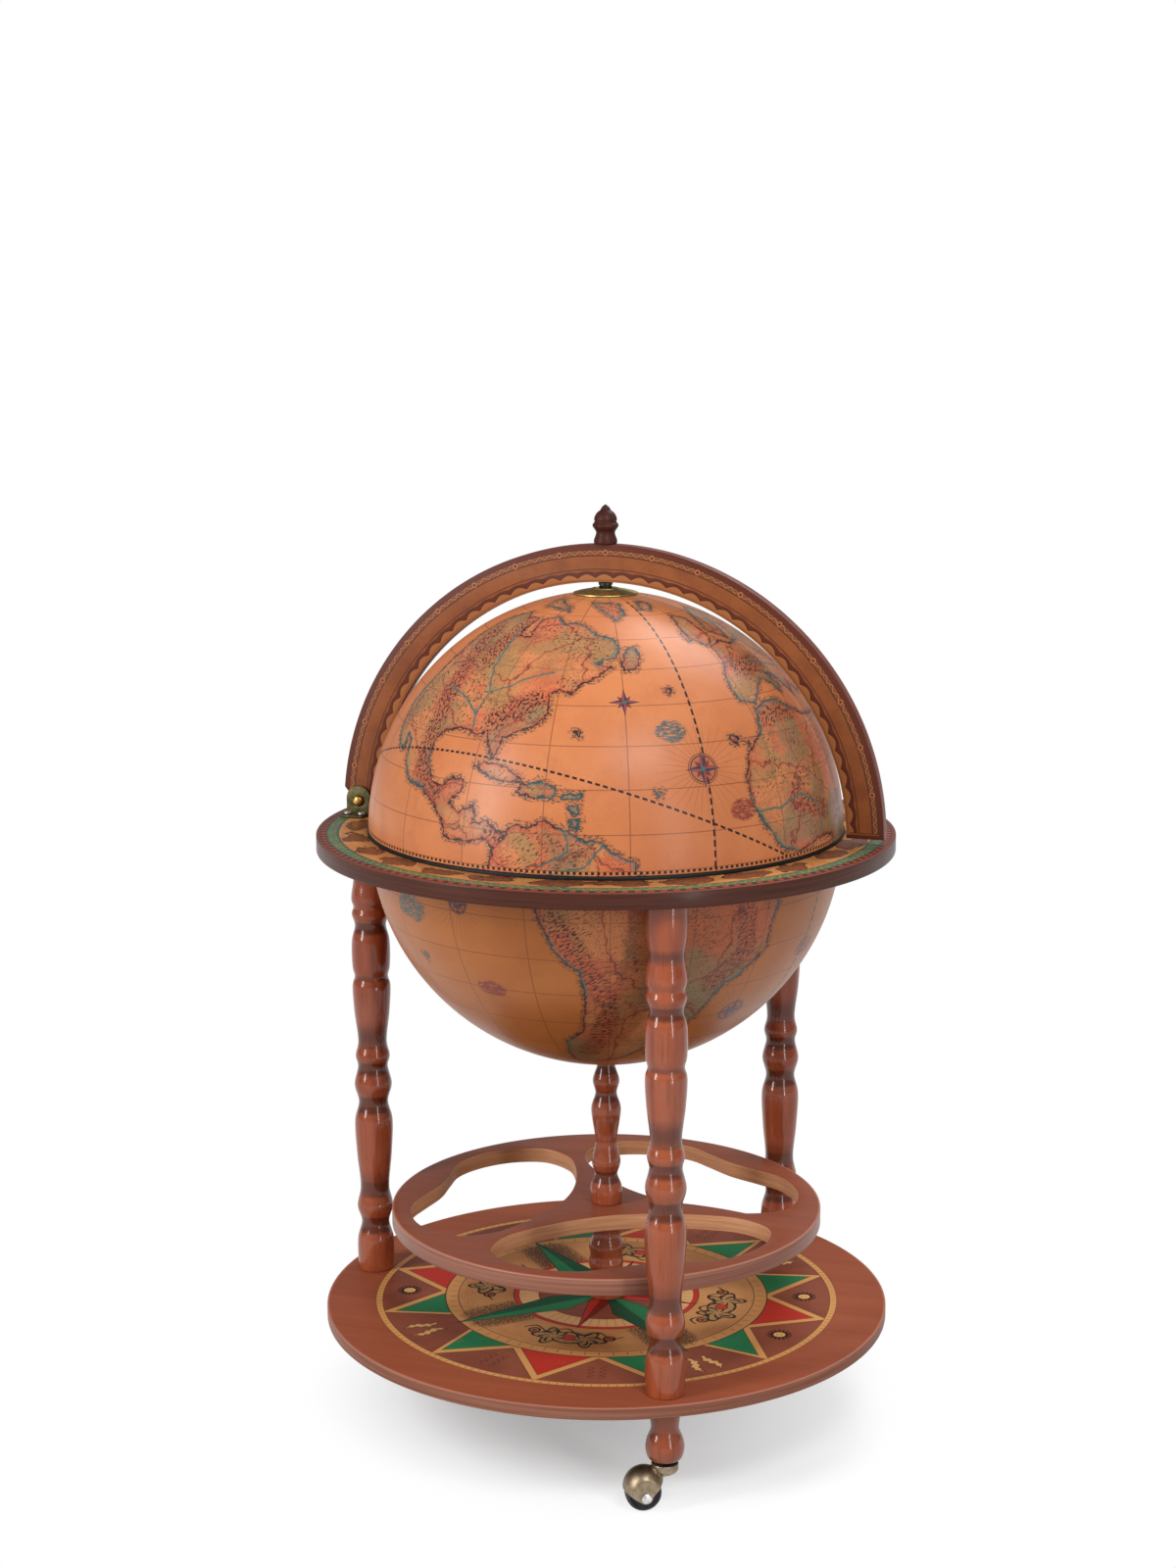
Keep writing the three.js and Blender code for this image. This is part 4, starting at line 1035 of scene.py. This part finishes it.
class Field(Nodes):
    """Geometry Nodes tree with named inputs, which spreads a piece."""

    def __init__(self, name, **sizes):
        super().__init__(bpy.data.node_groups.new(name, "GeometryNodeTree"))
        face = self.tree.interface
        face.new_socket("Geometry", in_out="INPUT", socket_type="NodeSocketGeometry")
        self.sockets = {}
        for size, value in sizes.items():
            kind = "NodeSocketInt" if isinstance(value, int) else "NodeSocketFloat"
            socket = face.new_socket(size.replace("_", " "), in_out="INPUT", socket_type=kind)
            socket.default_value = value
            self.sockets[size] = socket.identifier
        face.new_socket("Geometry", in_out="OUTPUT", socket_type="NodeSocketGeometry")
        self.entry = self.node("NodeGroupInput")

    def size(self, name):
        return self.entry.out(name.replace("_", " "))

    def dress(self, target, copies, material, **sizes):
        """Makes the copies real, in their material, runs the tree on a target and leaves a plain mesh."""
        real = self.node("GeometryNodeRealizeInstances", {}, Geometry=copies)
        dressed = self.node("GeometryNodeSetMaterial", {}, Geometry=real, Material=material)
        self.node("NodeGroupOutput", {}, dressed)
        modifier = target.modifiers.new(self.tree.name, "NODES")
        modifier.node_group = self.tree
        for size, value in sizes.items():
            modifier[self.sockets[size]] = value
        return plain(target)


def round_the_column(name, mesh, material, count, radius, angle):
    """Copies of a piece on a circle about the column, each turned to face outwards."""
    field = Field("round_the_column", Count=3, Circle_Radius=0.2, First_Angle=0.0)
    count_in, radius_in = field.size("Count"), field.size("Circle_Radius")
    ring = field.node("GeometryNodeMeshCircle", {}, Vertices=count_in, Radius=radius_in)
    turn = field.node("CombineXYZ", {}, Z=field.size("First_Angle"))
    turned = field.node("GeometryNodeTransform", {}, Geometry=ring, Rotation=turn)
    place = field.node("GeometryNodeInputPosition")
    facing_out = field.node("FunctionNodeAlignRotationToVector", {"axis": "X"}, Vector=place)
    copies = field.node("GeometryNodeInstanceOnPoints", {}, Points=turned, Instance=field.size("Geometry"),
                        Rotation=facing_out)
    return field.dress(place_object(name, mesh, material), copies, material, Count=count,
                       Circle_Radius=radius * MM, First_Angle=angle)


def on_places(name, mesh, material, places):
    """Copies of a piece on a list of places, each turned a step further than the last."""
    points = mesh_from(name + "_points", [(x * MM, y * MM, 0) for x, y in places], [])
    target, source = place_object(name, points, material), place_object(name + "_single", mesh, material)
    field = Field(name + "_places", Screw_Turn=0.4)
    single = field.node("GeometryNodeObjectInfo", {"transform_space": "ORIGINAL"}, Object=source)
    way = field.node("CombineXYZ", {}, Z=field.node("GeometryNodeInputIndex") * field.size("Screw_Turn"))
    turned = field.node("FunctionNodeEulerToRotation", {}, Euler=way)
    copies = field.node("GeometryNodeInstanceOnPoints", {}, Points=field.size("Geometry"),
                        Instance=single.out("Geometry"), Rotation=turned)
    made = field.dress(target, copies, material, Screw_Turn=0.7)
    bpy.data.objects.remove(source)
    return made


# Globe shells

def shell_mesh(name, radius, centre, from_z, to_z, map_turn):
    """Half a globe: printed outer face, plain lining, flat rim, with the distance to the nearest coast."""
    segments, rings, lining_rings = 560, 140, 24

    def meridian(out, steps, *levels):
        ends = [math.degrees(math.asin(np.clip((z - centre) / out, -0.99995, 0.99995))) for z in levels]
        return bend(out, *ends, steps + 1, 0.0, centre)

    profile = meridian(radius, rings, from_z, to_z)
    profile += meridian(radius - SHELL_WALL, lining_rings, to_z, from_z)
    mesh = lathe_mesh(name, profile, segments)
    index = np.ones(len(mesh.polygons), np.int32)
    index[:segments * rings] = 0
    mesh.polygons.foreach_set("material_index", index)
    points = np.array([v.co for v in mesh.vertices]) / MM - (0, 0, centre)
    outer = (rings + 1) * segments
    globe = points[:outer] / np.linalg.norm(points[:outer], axis=1)[:, None]
    globe = globe @ np.array(Matrix.Rotation(math.radians(map_turn), 3, "Z")).T
    for title, values in ground_shapes(globe).items():
        full = np.full(len(points), 99.0, np.float32)
        full[:outer] = values * radius
        mesh.attributes.new(title, "FLOAT", "POINT").data.foreach_set("value", full)
    return mesh


def near_path(points, path, nearest, sides=None):
    """Lowers nearest to the chord from each point on the unit sphere to a path, with the side it lies on."""
    for a, b in zip(path, path[1:]):
        a, b = np.array(unit(*a)), np.array(unit(*b))
        way = b - a
        share = np.clip(((points - a) @ way) / (way @ way), 0, 1)
        far = np.linalg.norm(points - a - share[:, None] * way, axis=1)
        closer = far < nearest
        nearest[closer] = far[closer]
        if sides is not None:
            sides[closer] = np.sign(points[closer] @ np.cross(a, b))


def ground_shapes(points):
    """Signed distance to the nearest coast, positive on land, and distances to the ranges and the rivers."""
    longitude = np.degrees(np.arctan2(points[:, 1], points[:, 0]))
    latitude = np.degrees(np.arcsin(np.clip(points[:, 2], -1, 1)))
    coast, chain, river = [np.full(len(points), 9.0) for _ in range(3)]
    on_land, bank = np.zeros(len(points), bool), np.ones(len(points))
    for outline in COASTS.values():
        closed = outline + outline[:1]
        for wrap in (0, 360):
            lon = longitude + wrap
            odd = np.zeros(len(points), bool)
            for (ax, ay), (bx, by) in zip(closed, closed[1:]):
                if ay != by:
                    crossing = (bx - ax) * (latitude - ay) / (by - ay) + ax
                    odd ^= ((ay > latitude) != (by > latitude)) & (lon < crossing)
            on_land |= odd
        for start, stop in zip(closed, closed[1:]):
            if abs(start[1]) != 90 and abs(stop[1]) != 90 and abs(start[0] - stop[0]) < 100:
                near_path(points, [start, stop], coast)
    for path in RANGES:
        near_path(points, path, chain)
    for path in RIVERS:
        near_path(points, path, river, bank)
    return {"coast": np.where(on_land, coast, -coast), "chain": chain, "river": river * bank}


# Finishes of the object
TURNED, FINIAL_WOOD, LINING, PLAIN = turned_wood(), dark_turned_wood(), shell_lining(), plain_wood()
SHELF_FINISH, BASE_FINISH, RING_FINISH, ARC_FINISH = shelf_board(), base_board(), ring_board(), arc_board()
ANTIQUE = metal("antique_brass", (160, 143, 120), (134, 116, 92), 0.34)
POLE_BRASS = metal("pole_brass", (190, 172, 110), (150, 134, 82), 0.36)
BRACKET_BRASS = metal("bracket_brass", (104, 96, 66), (76, 70, 48), 0.42)
BRIGHT = metal("bright_brass", (222, 176, 96), (170, 122, 58), 0.2)
STEEL = metal("zinc_steel", (232, 232, 232), (196, 196, 198), 0.32)
DARK_STEEL = metal("dark_steel", (70, 66, 62), (40, 38, 36), 0.3)
GASKET = rubber("black_rubber", (17, 16, 16), (10, 10, 10), 0.42)
TYRE = rubber("wheel_rubber", (64, 62, 66), (44, 43, 46), 0.38)

TEAL_INK, RED_INK = (70, 96, 96), (150, 60, 50)
DOME_PRINT = globe_print(
    "dome_print", DOME_CENTRE, DOME_RADIUS, DOME_MAP_TURN, -6.0, -26.2, [(208, 129, 80), (197, 116, 69)],
    [(-46, 41, 12.4, 0.0), (-27, 24, 15, 1.0), (60, -2, 9, 0.0), (-150, 30, 16, 1.0)],
    [(-34, 33, 5, 3, TEAL_INK), (-18, 14, 4, 3, RED_INK), (-150, 12, 7, 4, TEAL_INK)],
    rim=(531.2, 533.4))
# The bowl's water is a darker, browner copy of the dome's: painted shade on the globe's lower half
BOWL_PRINT = globe_print(
    "bowl_print", BOWL_CENTRE, BOWL_RADIUS, BOWL_MAP_TURN, -11.5, -11.0, [(192, 116, 58), (176, 102, 50)],
    [(-109, -8, 11, 1.0), (-31.5, -39.5, 15, 1.0), (70, -30, 16, 1.0)],
    [(-126, -12, 7, 4, TEAL_INK), (-104, -30, 5, 3, RED_INK), (-52, -56, 6, 3, TEAL_INK),
     (-10, -24, 5, 3, RED_INK)])

# Globe
pole_level = DOME_CENTRE + math.sqrt(DOME_RADIUS ** 2 - POLE_HOLE ** 2)
dome_mesh = shell_mesh("dome_shell", DOME_RADIUS, DOME_CENTRE, DOME_RIM, pole_level, DOME_MAP_TURN)
piece("dome_shell", dome_mesh, [DOME_PRINT, LINING], "globe_top", "globe_shell", "dome")
rod_level = BOWL_CENTRE - math.sqrt(BOWL_RADIUS ** 2 - ROD_HOLE ** 2)
bowl_mesh = shell_mesh("bowl_shell", BOWL_RADIUS, BOWL_CENTRE, rod_level, RING_TOP, BOWL_MAP_TURN)
piece("bowl_shell", bowl_mesh, [BOWL_PRINT, LINING], "stand", "globe_shell", "lower_bowl")

# Gasket, horizon ring and base disc
GASKET_PROFILE = [(199.5, 527.0), (206.5, 527.0), (206.5, 528.4), (206.2, 529.3), (205.4, 529.9),
                  (203.6, 529.9), (203.0, 529.5), (202.4, 529.5), (201.8, 529.9), (200.2, 529.9),
                  (199.5, 529.3)]
RING_PROFILE = rounded_ring(RING_IN, RING_OUT, RING_LOW, RING_TOP, 0.7)
BASE_PROFILE = rounded_ring(ROD_HOLE, BASE_RADIUS, BASE_LOW, BASE_TOP, 0.6)
for name, profile, material, slot, node in (
    ("gasket_strip", GASKET_PROFILE, GASKET, "black_rubber", "rim_gasket"),
    ("ring_board", RING_PROFILE, RING_FINISH, "printed_wood", "horizon_ring"),
    ("base_board", BASE_PROFILE, BASE_FINISH, "printed_wood", "base_disc"),
):
    piece(name, lathe_mesh(name, profile, 256), [material], "stand", slot, node)


# Shelf and tray

def shelf_outlines():
    """The shelf's edge, the rod's hole and three kidney openings."""
    near = [(out * SHELF_RADIUS, aside * SHELF_RADIUS) for out, aside in SHELF_OPENING]
    points = near + [(out, -aside) for out, aside in near[-2:0:-1]]
    curve = centripetal(points[-3:] + points + points[:4], 8)
    opening = curve[3 * 8:(3 + len(points)) * 8]
    outlines = [circle(SHELF_RADIUS, count=256), circle(ROD_HOLE, count=24)]
    for angle in LEG_ANGLES.values():
        c, s = math.cos(angle), math.sin(angle)
        outlines.append([(u * c - v * s, u * s + v * c) for u, v in opening])
    return outlines


tray_outlines = [circle(TRAY_RADIUS, count=192), circle(TRAY_WELL)]
tray_outlines += [circle(TRAY_HOLE, x, y, 72) for x, y in circle(TRAY_CIRCLE, count=6)]
for name, outlines, low, high, arris, material, slot, node in (
    ("shelf_board", shelf_outlines(), SHELF_LOW, SHELF_TOP, 0.9, SHELF_FINISH,
     "stained_wood", "bottle_shelf"),
    ("tray_board", tray_outlines, TRAY_TOP - TRAY_THICK, TRAY_TOP, 0.8, PLAIN, "plain_wood", "glass_tray"),
):
    piece(name, flat_plate(name, outlines, low, high, arris), [material], "stand", slot, node)

# Turned pieces, a hair clear of the boards they stand between
for name, shares, height, radius, low, steps, node in (
    ("turned_legs", LEG, 412.4, 17.0, BASE_TOP + CLEAR, 10, "leg_"),
    ("bun_feet", FOOT, 47.7, 16.2, CASTER_TOP + CLEAR, 8, "bun_foot_"),
):
    mesh = turned_mesh(name, shares, height, radius, low, steps=steps)
    spread = round_the_column(name, mesh, TURNED, 3, LEG_CIRCLE, math.pi / 3)
    finish_piece(spread, "stand", "turned_wood", *[node + place for place in LEG_ANGLES])
spindle_low = SHELF_TOP + CLEAR
spindle_height = BOWL_CENTRE - BOWL_RADIUS - CLEAR - spindle_low
for name, shares, height, radius, low, material, body, node in (
    ("column_spool_turned", SPOOL, 72.0, 17.5, BASE_TOP + CLEAR, TURNED, "stand", "column_spool"),
    ("column_spindle_turned", SPINDLE, spindle_height, 13.85, spindle_low, TURNED, "stand", "column_spindle"),
    ("finial_turned", FINIAL, 33.4, 11.2, 773.8, FINIAL_WOOD, "lid", "finial"),
):
    piece(name, turned_mesh(name, shares, height, radius, low, 64, 10), [material], body, "turned_wood", node)


# Meridian arc and hinge

def arc_outline():
    """Free end at +X, rounded heel about the pin at -X, and the pin's hole."""
    def angle(level, radius):
        return math.degrees(math.asin((level - ARC_CENTRE) / radius))

    foot, notch, heel, middle = RING_TOP + 5.5, RING_TOP + 24, HINGE_Z - HEEL_RADIUS, (ARC_SHIFT, ARC_CENTRE)
    points = bend(ARC_OUTER, angle(foot, ARC_OUTER), 180 - angle(notch, ARC_OUTER), 160, *middle)
    points += bend(HEEL_RADIUS, 150, 270, 24, HINGE_X, HINGE_Z)
    points += bend(ARC_INNER, 180 - angle(heel, ARC_INNER), angle(foot, ARC_INNER), 160, *middle)
    return [points, circle(PIN_HOLE, HINGE_X, HINGE_Z, 32)]


def bracket_mesh(side):
    """An angle bracket: a wall with a round top about the pin, and a foot with two screw holes."""
    half, low, inner, outer, corner = BRACKET_HALF, RING_TOP + CLEAR, 7.6, 9.6, 2.5
    left, right = HINGE_X - half, HINGE_X + half
    wall = [(left, low), (right, low)] + bend(half, 0, 180, 32, HINGE_X, HINGE_Z + BRACKET_ARCH)
    span = (inner, outer) if side < 0 else (-outer, -inner)
    wall = flat_plate("wall", [wall, circle(PIN_HOLE, HINGE_X, HINGE_Z, 32)], *span, arris=0.35, upright=True)
    far = outer + 18 - corner
    foot = bend(corner, 0, 90, 7, right - corner, far) + bend(corner, 90, 180, 7, left + corner, far)
    foot = [(x, side * y) for x, y in foot + [(left, inner), (right, inner)]]
    holes = [circle(1.9, HINGE_X + along, side * SCREW_ASIDE, 20) for along in SCREW_ALONG]
    foot = flat_plate("foot", [foot] + holes, low, low + 2, 0.35)
    return built("bracket", lambda build: None, wall, foot)


def on_its_side(mesh, x, z):
    """Turns a mesh revolved about Z to lie across the object, its top towards -Y, with its axis at (x, z)."""
    return moved_mesh(mesh, Matrix.Translation((x * MM, 0, z * MM)) @ Matrix.Rotation(math.pi / 2, 4, "X"))


arc_mesh = flat_plate("arc_board", arc_outline(), -ARC_HALF, ARC_HALF, upright=True)
piece("arc_board", arc_mesh, [ARC_FINISH], "lid", "printed_wood", "meridian_arc")
for side, place in ((-1, "front"), (1, "rear")):
    name = "bracket_" + place
    piece(name, bracket_mesh(side), [BRACKET_BRASS], "stand", "antique_brass", "hinge_" + name)
PIN_PROFILE = [(0, -14.9), (3, -14.9), (3, 9.9), (4.8, 9.9), (5, 10.2), (4.8, 11.2), (4.2, 12.2), (3.2, 13.0),
               (1.8, 13.4), (0, 13.5)]
NUT_PROFILE = mirrored([(6.4, 1.5), (5.6, 2.0), (3.2, 2.0)], -11.9)
for name, profile, segments, node, smooth in (
    ("pin_turned", PIN_PROFILE, 48, "hinge_pin", 35), ("nut_hexagon", NUT_PROFILE, 6, "hinge_nut", 20),
):
    mesh = on_its_side(lathe_mesh(name, profile, segments), HINGE_X, HINGE_Z)
    piece(name, mesh, [BRIGHT], "stand", "bright_brass", node, smooth=smooth)
SCREW_PROFILE = [(0, -11), (1.6, -10), (1.6, 0), (3.4, 0), (3.6, .3), (3.5, .9), (2.8, 1.5), (1.6, 1.85),
                 (0, 1.95)]
screw = lathe_mesh("bracket_screw", [(out, RING_TOP + 2.6 + up) for out, up in SCREW_PROFILE], 32)
screw_places = [(HINGE_X + along, aside) for aside in (-SCREW_ASIDE, SCREW_ASIDE) for along in SCREW_ALONG]
screws = on_places("bracket_screws", screw, STEEL, screw_places)
finish_piece(screws, "stand", "bright_brass", *["bracket_screw_%d" % number for number in (1, 2, 3, 4)])

# Pole cap and spacer
CAP_PROFILE = [(4.2, 732.8), (9, 732.6), (18, 732.0), (27.5, 731.0), (27.8, 731.4), (27.5, 732.2),
               (24, 733.2), (19, 734.3), (14, 735.1), (12, 735.3), (11.5, 736.0), (9, 736.2), (8.4, 735.8),
               (4.2, 735.8)]
SPACER_PROFILE = [(3.3, 736.3), (6.0, 736.3), (6.1, 736.8), (5.2, 737.4), (5.2, 738.2), (6.1, 738.8),
                  (6.1, 740.6), (5.8, 740.9), (3.3, 740.9)]
for name, profile, segments, material, body, node in (
    ("cap_turned", CAP_PROFILE, 96, POLE_BRASS, "globe_top", "pole_cap"),
    ("spacer_turned", SPACER_PROFILE, 48, DARK_STEEL, "lid", "pole_spacer"),
):
    piece(name, lathe_mesh(name, profile, segments), [material], body, "antique_brass", node)


# Casters

def hood_mesh():
    """The caster's hood in its own frame: swivel axis on Z, wheel trailing along +X."""
    ball_place = Matrix.Translation((17.6 * MM, 0, 19.8 * MM))
    ball = built("ball", lambda build: bmesh.ops.create_uvsphere(
        build, u_segments=64, v_segments=40, radius=17.6 * MM, matrix=ball_place))
    side = [(38, 20.5), (38, 44), (0, 44), (0, 29.6), (6.4, 22.5), (12.8, 15)]
    side += bend(5.6, 180, 300, 16, AXLE_X, AXLE_Z)
    head = [(0, 29.6), (7, 29.6), (9.6, 31.2), (11.3, 33.5), (11.3, 38.9), (10.8, 39.4), (10.0, 39.4),
            (9.6, 39.0), (9.6, 37.2), (0, 37.2)]
    bore = [(0, 10), (6, 10), (6, 29.6), (4.6, 29.6), (4.6, 50), (0, 50)]
    space = mirrored([(15.9, 4.5), (15.4, 6.5), (13.9, 8.4), (0, 8.4)])
    below_size = Matrix.Diagonal((31.8 * MM, 16.8 * MM, 16 * MM, 1))
    below_place = Matrix.Translation((AXLE_X * MM, 0, 7 * MM)) @ below_size
    below = built("below", lambda build: bmesh.ops.create_cube(build, size=1, matrix=below_place))
    hood = place_object("hood", ball)
    for operation, tool in (
        ("INTERSECT", flat_plate("side", [side], -14, 14, 0.05, upright=True)),
        ("UNION", lathe_mesh("head", head, 64)),
        ("DIFFERENCE", lathe_mesh("bore", bore, 48)),
        ("DIFFERENCE", on_its_side(lathe_mesh("space", space, 64), AXLE_X, AXLE_Z)),
        ("DIFFERENCE", below),
    ):
        cutter = place_object("cutter", tool)
        modifier = hood.modifiers.new("cut", "BOOLEAN")
        modifier.operation, modifier.solver, modifier.object = operation, "EXACT", cutter
        plain(hood)
        bpy.data.objects.remove(cutter)
    hood.modifiers.new("even", "REMESH").voxel_size = 0.42 * MM
    softening = hood.modifiers.new("soften", "SMOOTH")
    softening.factor, softening.iterations = 0.5, 6
    mesh = plain(hood).data
    bpy.data.objects.remove(hood)
    return mesh


WHEEL_PROFILE = mirrored([(15, 2), (14.75, 4.4), (14.2, 6.2), (13.2, 7.2), (12.4, 7.4), (11.2, 6.6),
                          (10.6, 6.0), (6.4, 6.2), (6.0, 7.2), (5.6, 7.5), (2.5, 7.5)])
AXLE_PROFILE = mirrored([(2.2, 14.3), (4.1, 14.3), (4.1, 14.9), (3.2, 15.6), (1.0, 15.9), (0, 15.9)])
STEM_PROFILE = [(0, 27.7), (5.0, 27.7), (5.4, 28.2), (5.4, 29.3), (4.2, 29.3), (4.2, 37.5), (8.2, 37.5),
                (8.8, 37.9), (8.8, 38.5), (8.2, 38.9), (4.6, 38.9), (4.2, 39.3), (4.2, 66), (0, 66)]
WASHER_PROFILE = [(4.3, 39.1), (8.6, 39.1), (8.6, 39.9), (8.2, 40.3), (4.3, 40.3)]
hood_source = hood_mesh()
for place, angle in LEG_ANGLES.items():
    spot = Matrix.Translation((LEG_CIRCLE * MM * math.cos(angle), LEG_CIRCLE * MM * math.sin(angle), 0))
    heading = spot @ Matrix.Rotation(CASTER_TURNS[place], 4, "Z")
    wheel, axle = [on_its_side(lathe_mesh(name, profile, segments), AXLE_X, AXLE_Z)
                   for name, profile, segments in (("wheel", WHEEL_PROFILE, 72), ("axle", AXLE_PROFILE, 40))]
    for kind, mesh, material, body, slot, move in (
        ("hood", hood_source.copy(), ANTIQUE, "swivel_" + place, "antique_brass", heading),
        ("wheel", wheel, TYRE, "wheel_" + place, "wheel_rubber", heading),
        ("axle", axle, STEEL, "swivel_" + place, "zinc_steel", heading),
        ("stem", lathe_mesh("stem", STEM_PROFILE, 40), STEEL, "stand", "zinc_steel", spot),
        ("stem_washer", lathe_mesh("washer", WASHER_PROFILE, 40), GASKET, "stand", "black_rubber", spot),
    ):
        nodes = [] if kind == "stem_washer" else ["caster_%s_%s" % (kind, place)]
        piece("%s_%s" % (kind, place), moved_mesh(mesh, move), [material], body, slot, *nodes)

# CAD nodes that stay as they are
for material, nodes in (
    (STEEL, ["column_tie_rod", "base_nut", "bowl_nut", "pole_rod", "pole_nut"]),
    (STEEL, ["leg_stud_" + place for place in LEG_ANGLES]),
    (PLAIN, ["tray_floor"] + ["ring_dowel_" + place for place in LEG_ANGLES]),
    (GASKET, ["hinge_washer_front", "hinge_washer_rear"]),
):
    for node in nodes:
        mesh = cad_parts[node].data
        mesh.materials.clear()
        mesh.materials.append(material)

# Camera at the photograph's place
VIEW_TURN = math.radians(17.5)
CAMERA_AWAY, CAMERA_HEIGHT = 2.29459, 1.00621
pitch, heading, roll = 0.1898, -0.0067, -0.0022
lens = bpy.data.cameras.new("camera")
lens.sensor_fit, lens.sensor_height, lens.lens, lens.clip_end = "VERTICAL", 36, 62.02, 50
camera = linked("camera", lens)
bpy.context.scene.camera = camera
forward = Vector((math.sin(heading) * math.cos(pitch), math.cos(heading) * math.cos(pitch), -math.sin(pitch)))
level = Vector((math.cos(heading), -math.sin(heading), 0))
upward = level.cross(forward)
right = math.cos(roll) * level + math.sin(roll) * upward
above = math.cos(roll) * upward - math.sin(roll) * level
axes = Matrix((right, above, -forward)).transposed().to_4x4()
place = Matrix.Translation((0, -CAMERA_AWAY, CAMERA_HEIGHT))
camera.matrix_world = Matrix.Rotation(VIEW_TURN, 4, "Z") @ place @ axes

# Floor: a painted fade washes the object's real shadow into white, farther from the object and towards the
# lit side: painted light on the floor
floor_finish = Finish("pale_floor", Base_Color=(236, 236, 236), Roughness=0.9, Specular_IOR_Level=0.1)
floor_x, floor_y, _ = floor_finish.axes()
sideways = floor_x * math.cos(VIEW_TURN) + floor_y * math.sin(VIEW_TURN)
backwards = floor_y * math.cos(VIEW_TURN) - floor_x * math.sin(VIEW_TURN)
# painted light: the fade from the floor's real shadow to white, centred off the column and stronger on the
# right
painted_fade = reach(sideways - 30, backwards - 40).rise(150, 320).either(sideways.rise(-60, 260) * 0.6)
glow, white = floor_finish.node("Emission", {}, Strength=0.3), floor_finish.node("Emission")
near = floor_finish.node("AddShader", {}, floor_finish.shader, glow)
shown = floor_finish.node("MixShader", {}, painted_fade, near, white)
ray = floor_finish.node("LightPath")
seen = ray.out("Is Camera Ray").either(ray.out("Is Glossy Ray")).either(ray.out("Is Transmission Ray"))
unseen = floor_finish.node("BsdfDiffuse", {}, (132, 132, 132))
fill(floor_finish.surface, floor_finish.node("MixShader", {}, seen, unseen, shown))
place_object("floor", lathe_mesh("floor", [(9000, 0), (0, 0)], 96), floor_finish.material)

# White backdrop and soft room light
world = bpy.data.worlds.new("studio")
bpy.context.scene.world = world
world.use_nodes = True
studio = Nodes(world.node_tree)
room, backdrop = [studio.node("Background", {}, (255, 255, 255), strength) for strength in (0.3, 1.0)]
picked = studio.node("MixShader", {}, studio.node("LightPath").out("Is Camera Ray"), room, backdrop)
studio.node("OutputWorld", {}, Surface=picked)

# Softboxes: place, aim height, width, height and power
for name, place, aim, width, height, power in (
    ("key_softbox", (1.0, -1.25, 2.05), 0.6, 0.9, 0.6, 20),
    ("right_strip", (1.75, -1.55, 0.75), 0.5, 0.16, 1.6, 12),
    ("left_softbox", (-1.35, -1.6, 1.3), 0.5, 0.4, 1.5, 32),
    ("rear_softbox", (0.45, 1.0, 2.05), 0.5, 1.0, 1.0, 20),
):
    lamp = bpy.data.lights.new(name, "AREA")
    lamp.shape, lamp.size, lamp.size_y, lamp.energy = "RECTANGLE", width, height, power
    softbox = linked(name, lamp)
    softbox.location = place
    softbox.rotation_euler = (Vector((0, 0, aim)) - Vector(place)).to_track_quat("-Z", "Y").to_euler()

bpy.context.scene.view_settings.view_transform = "Standard"
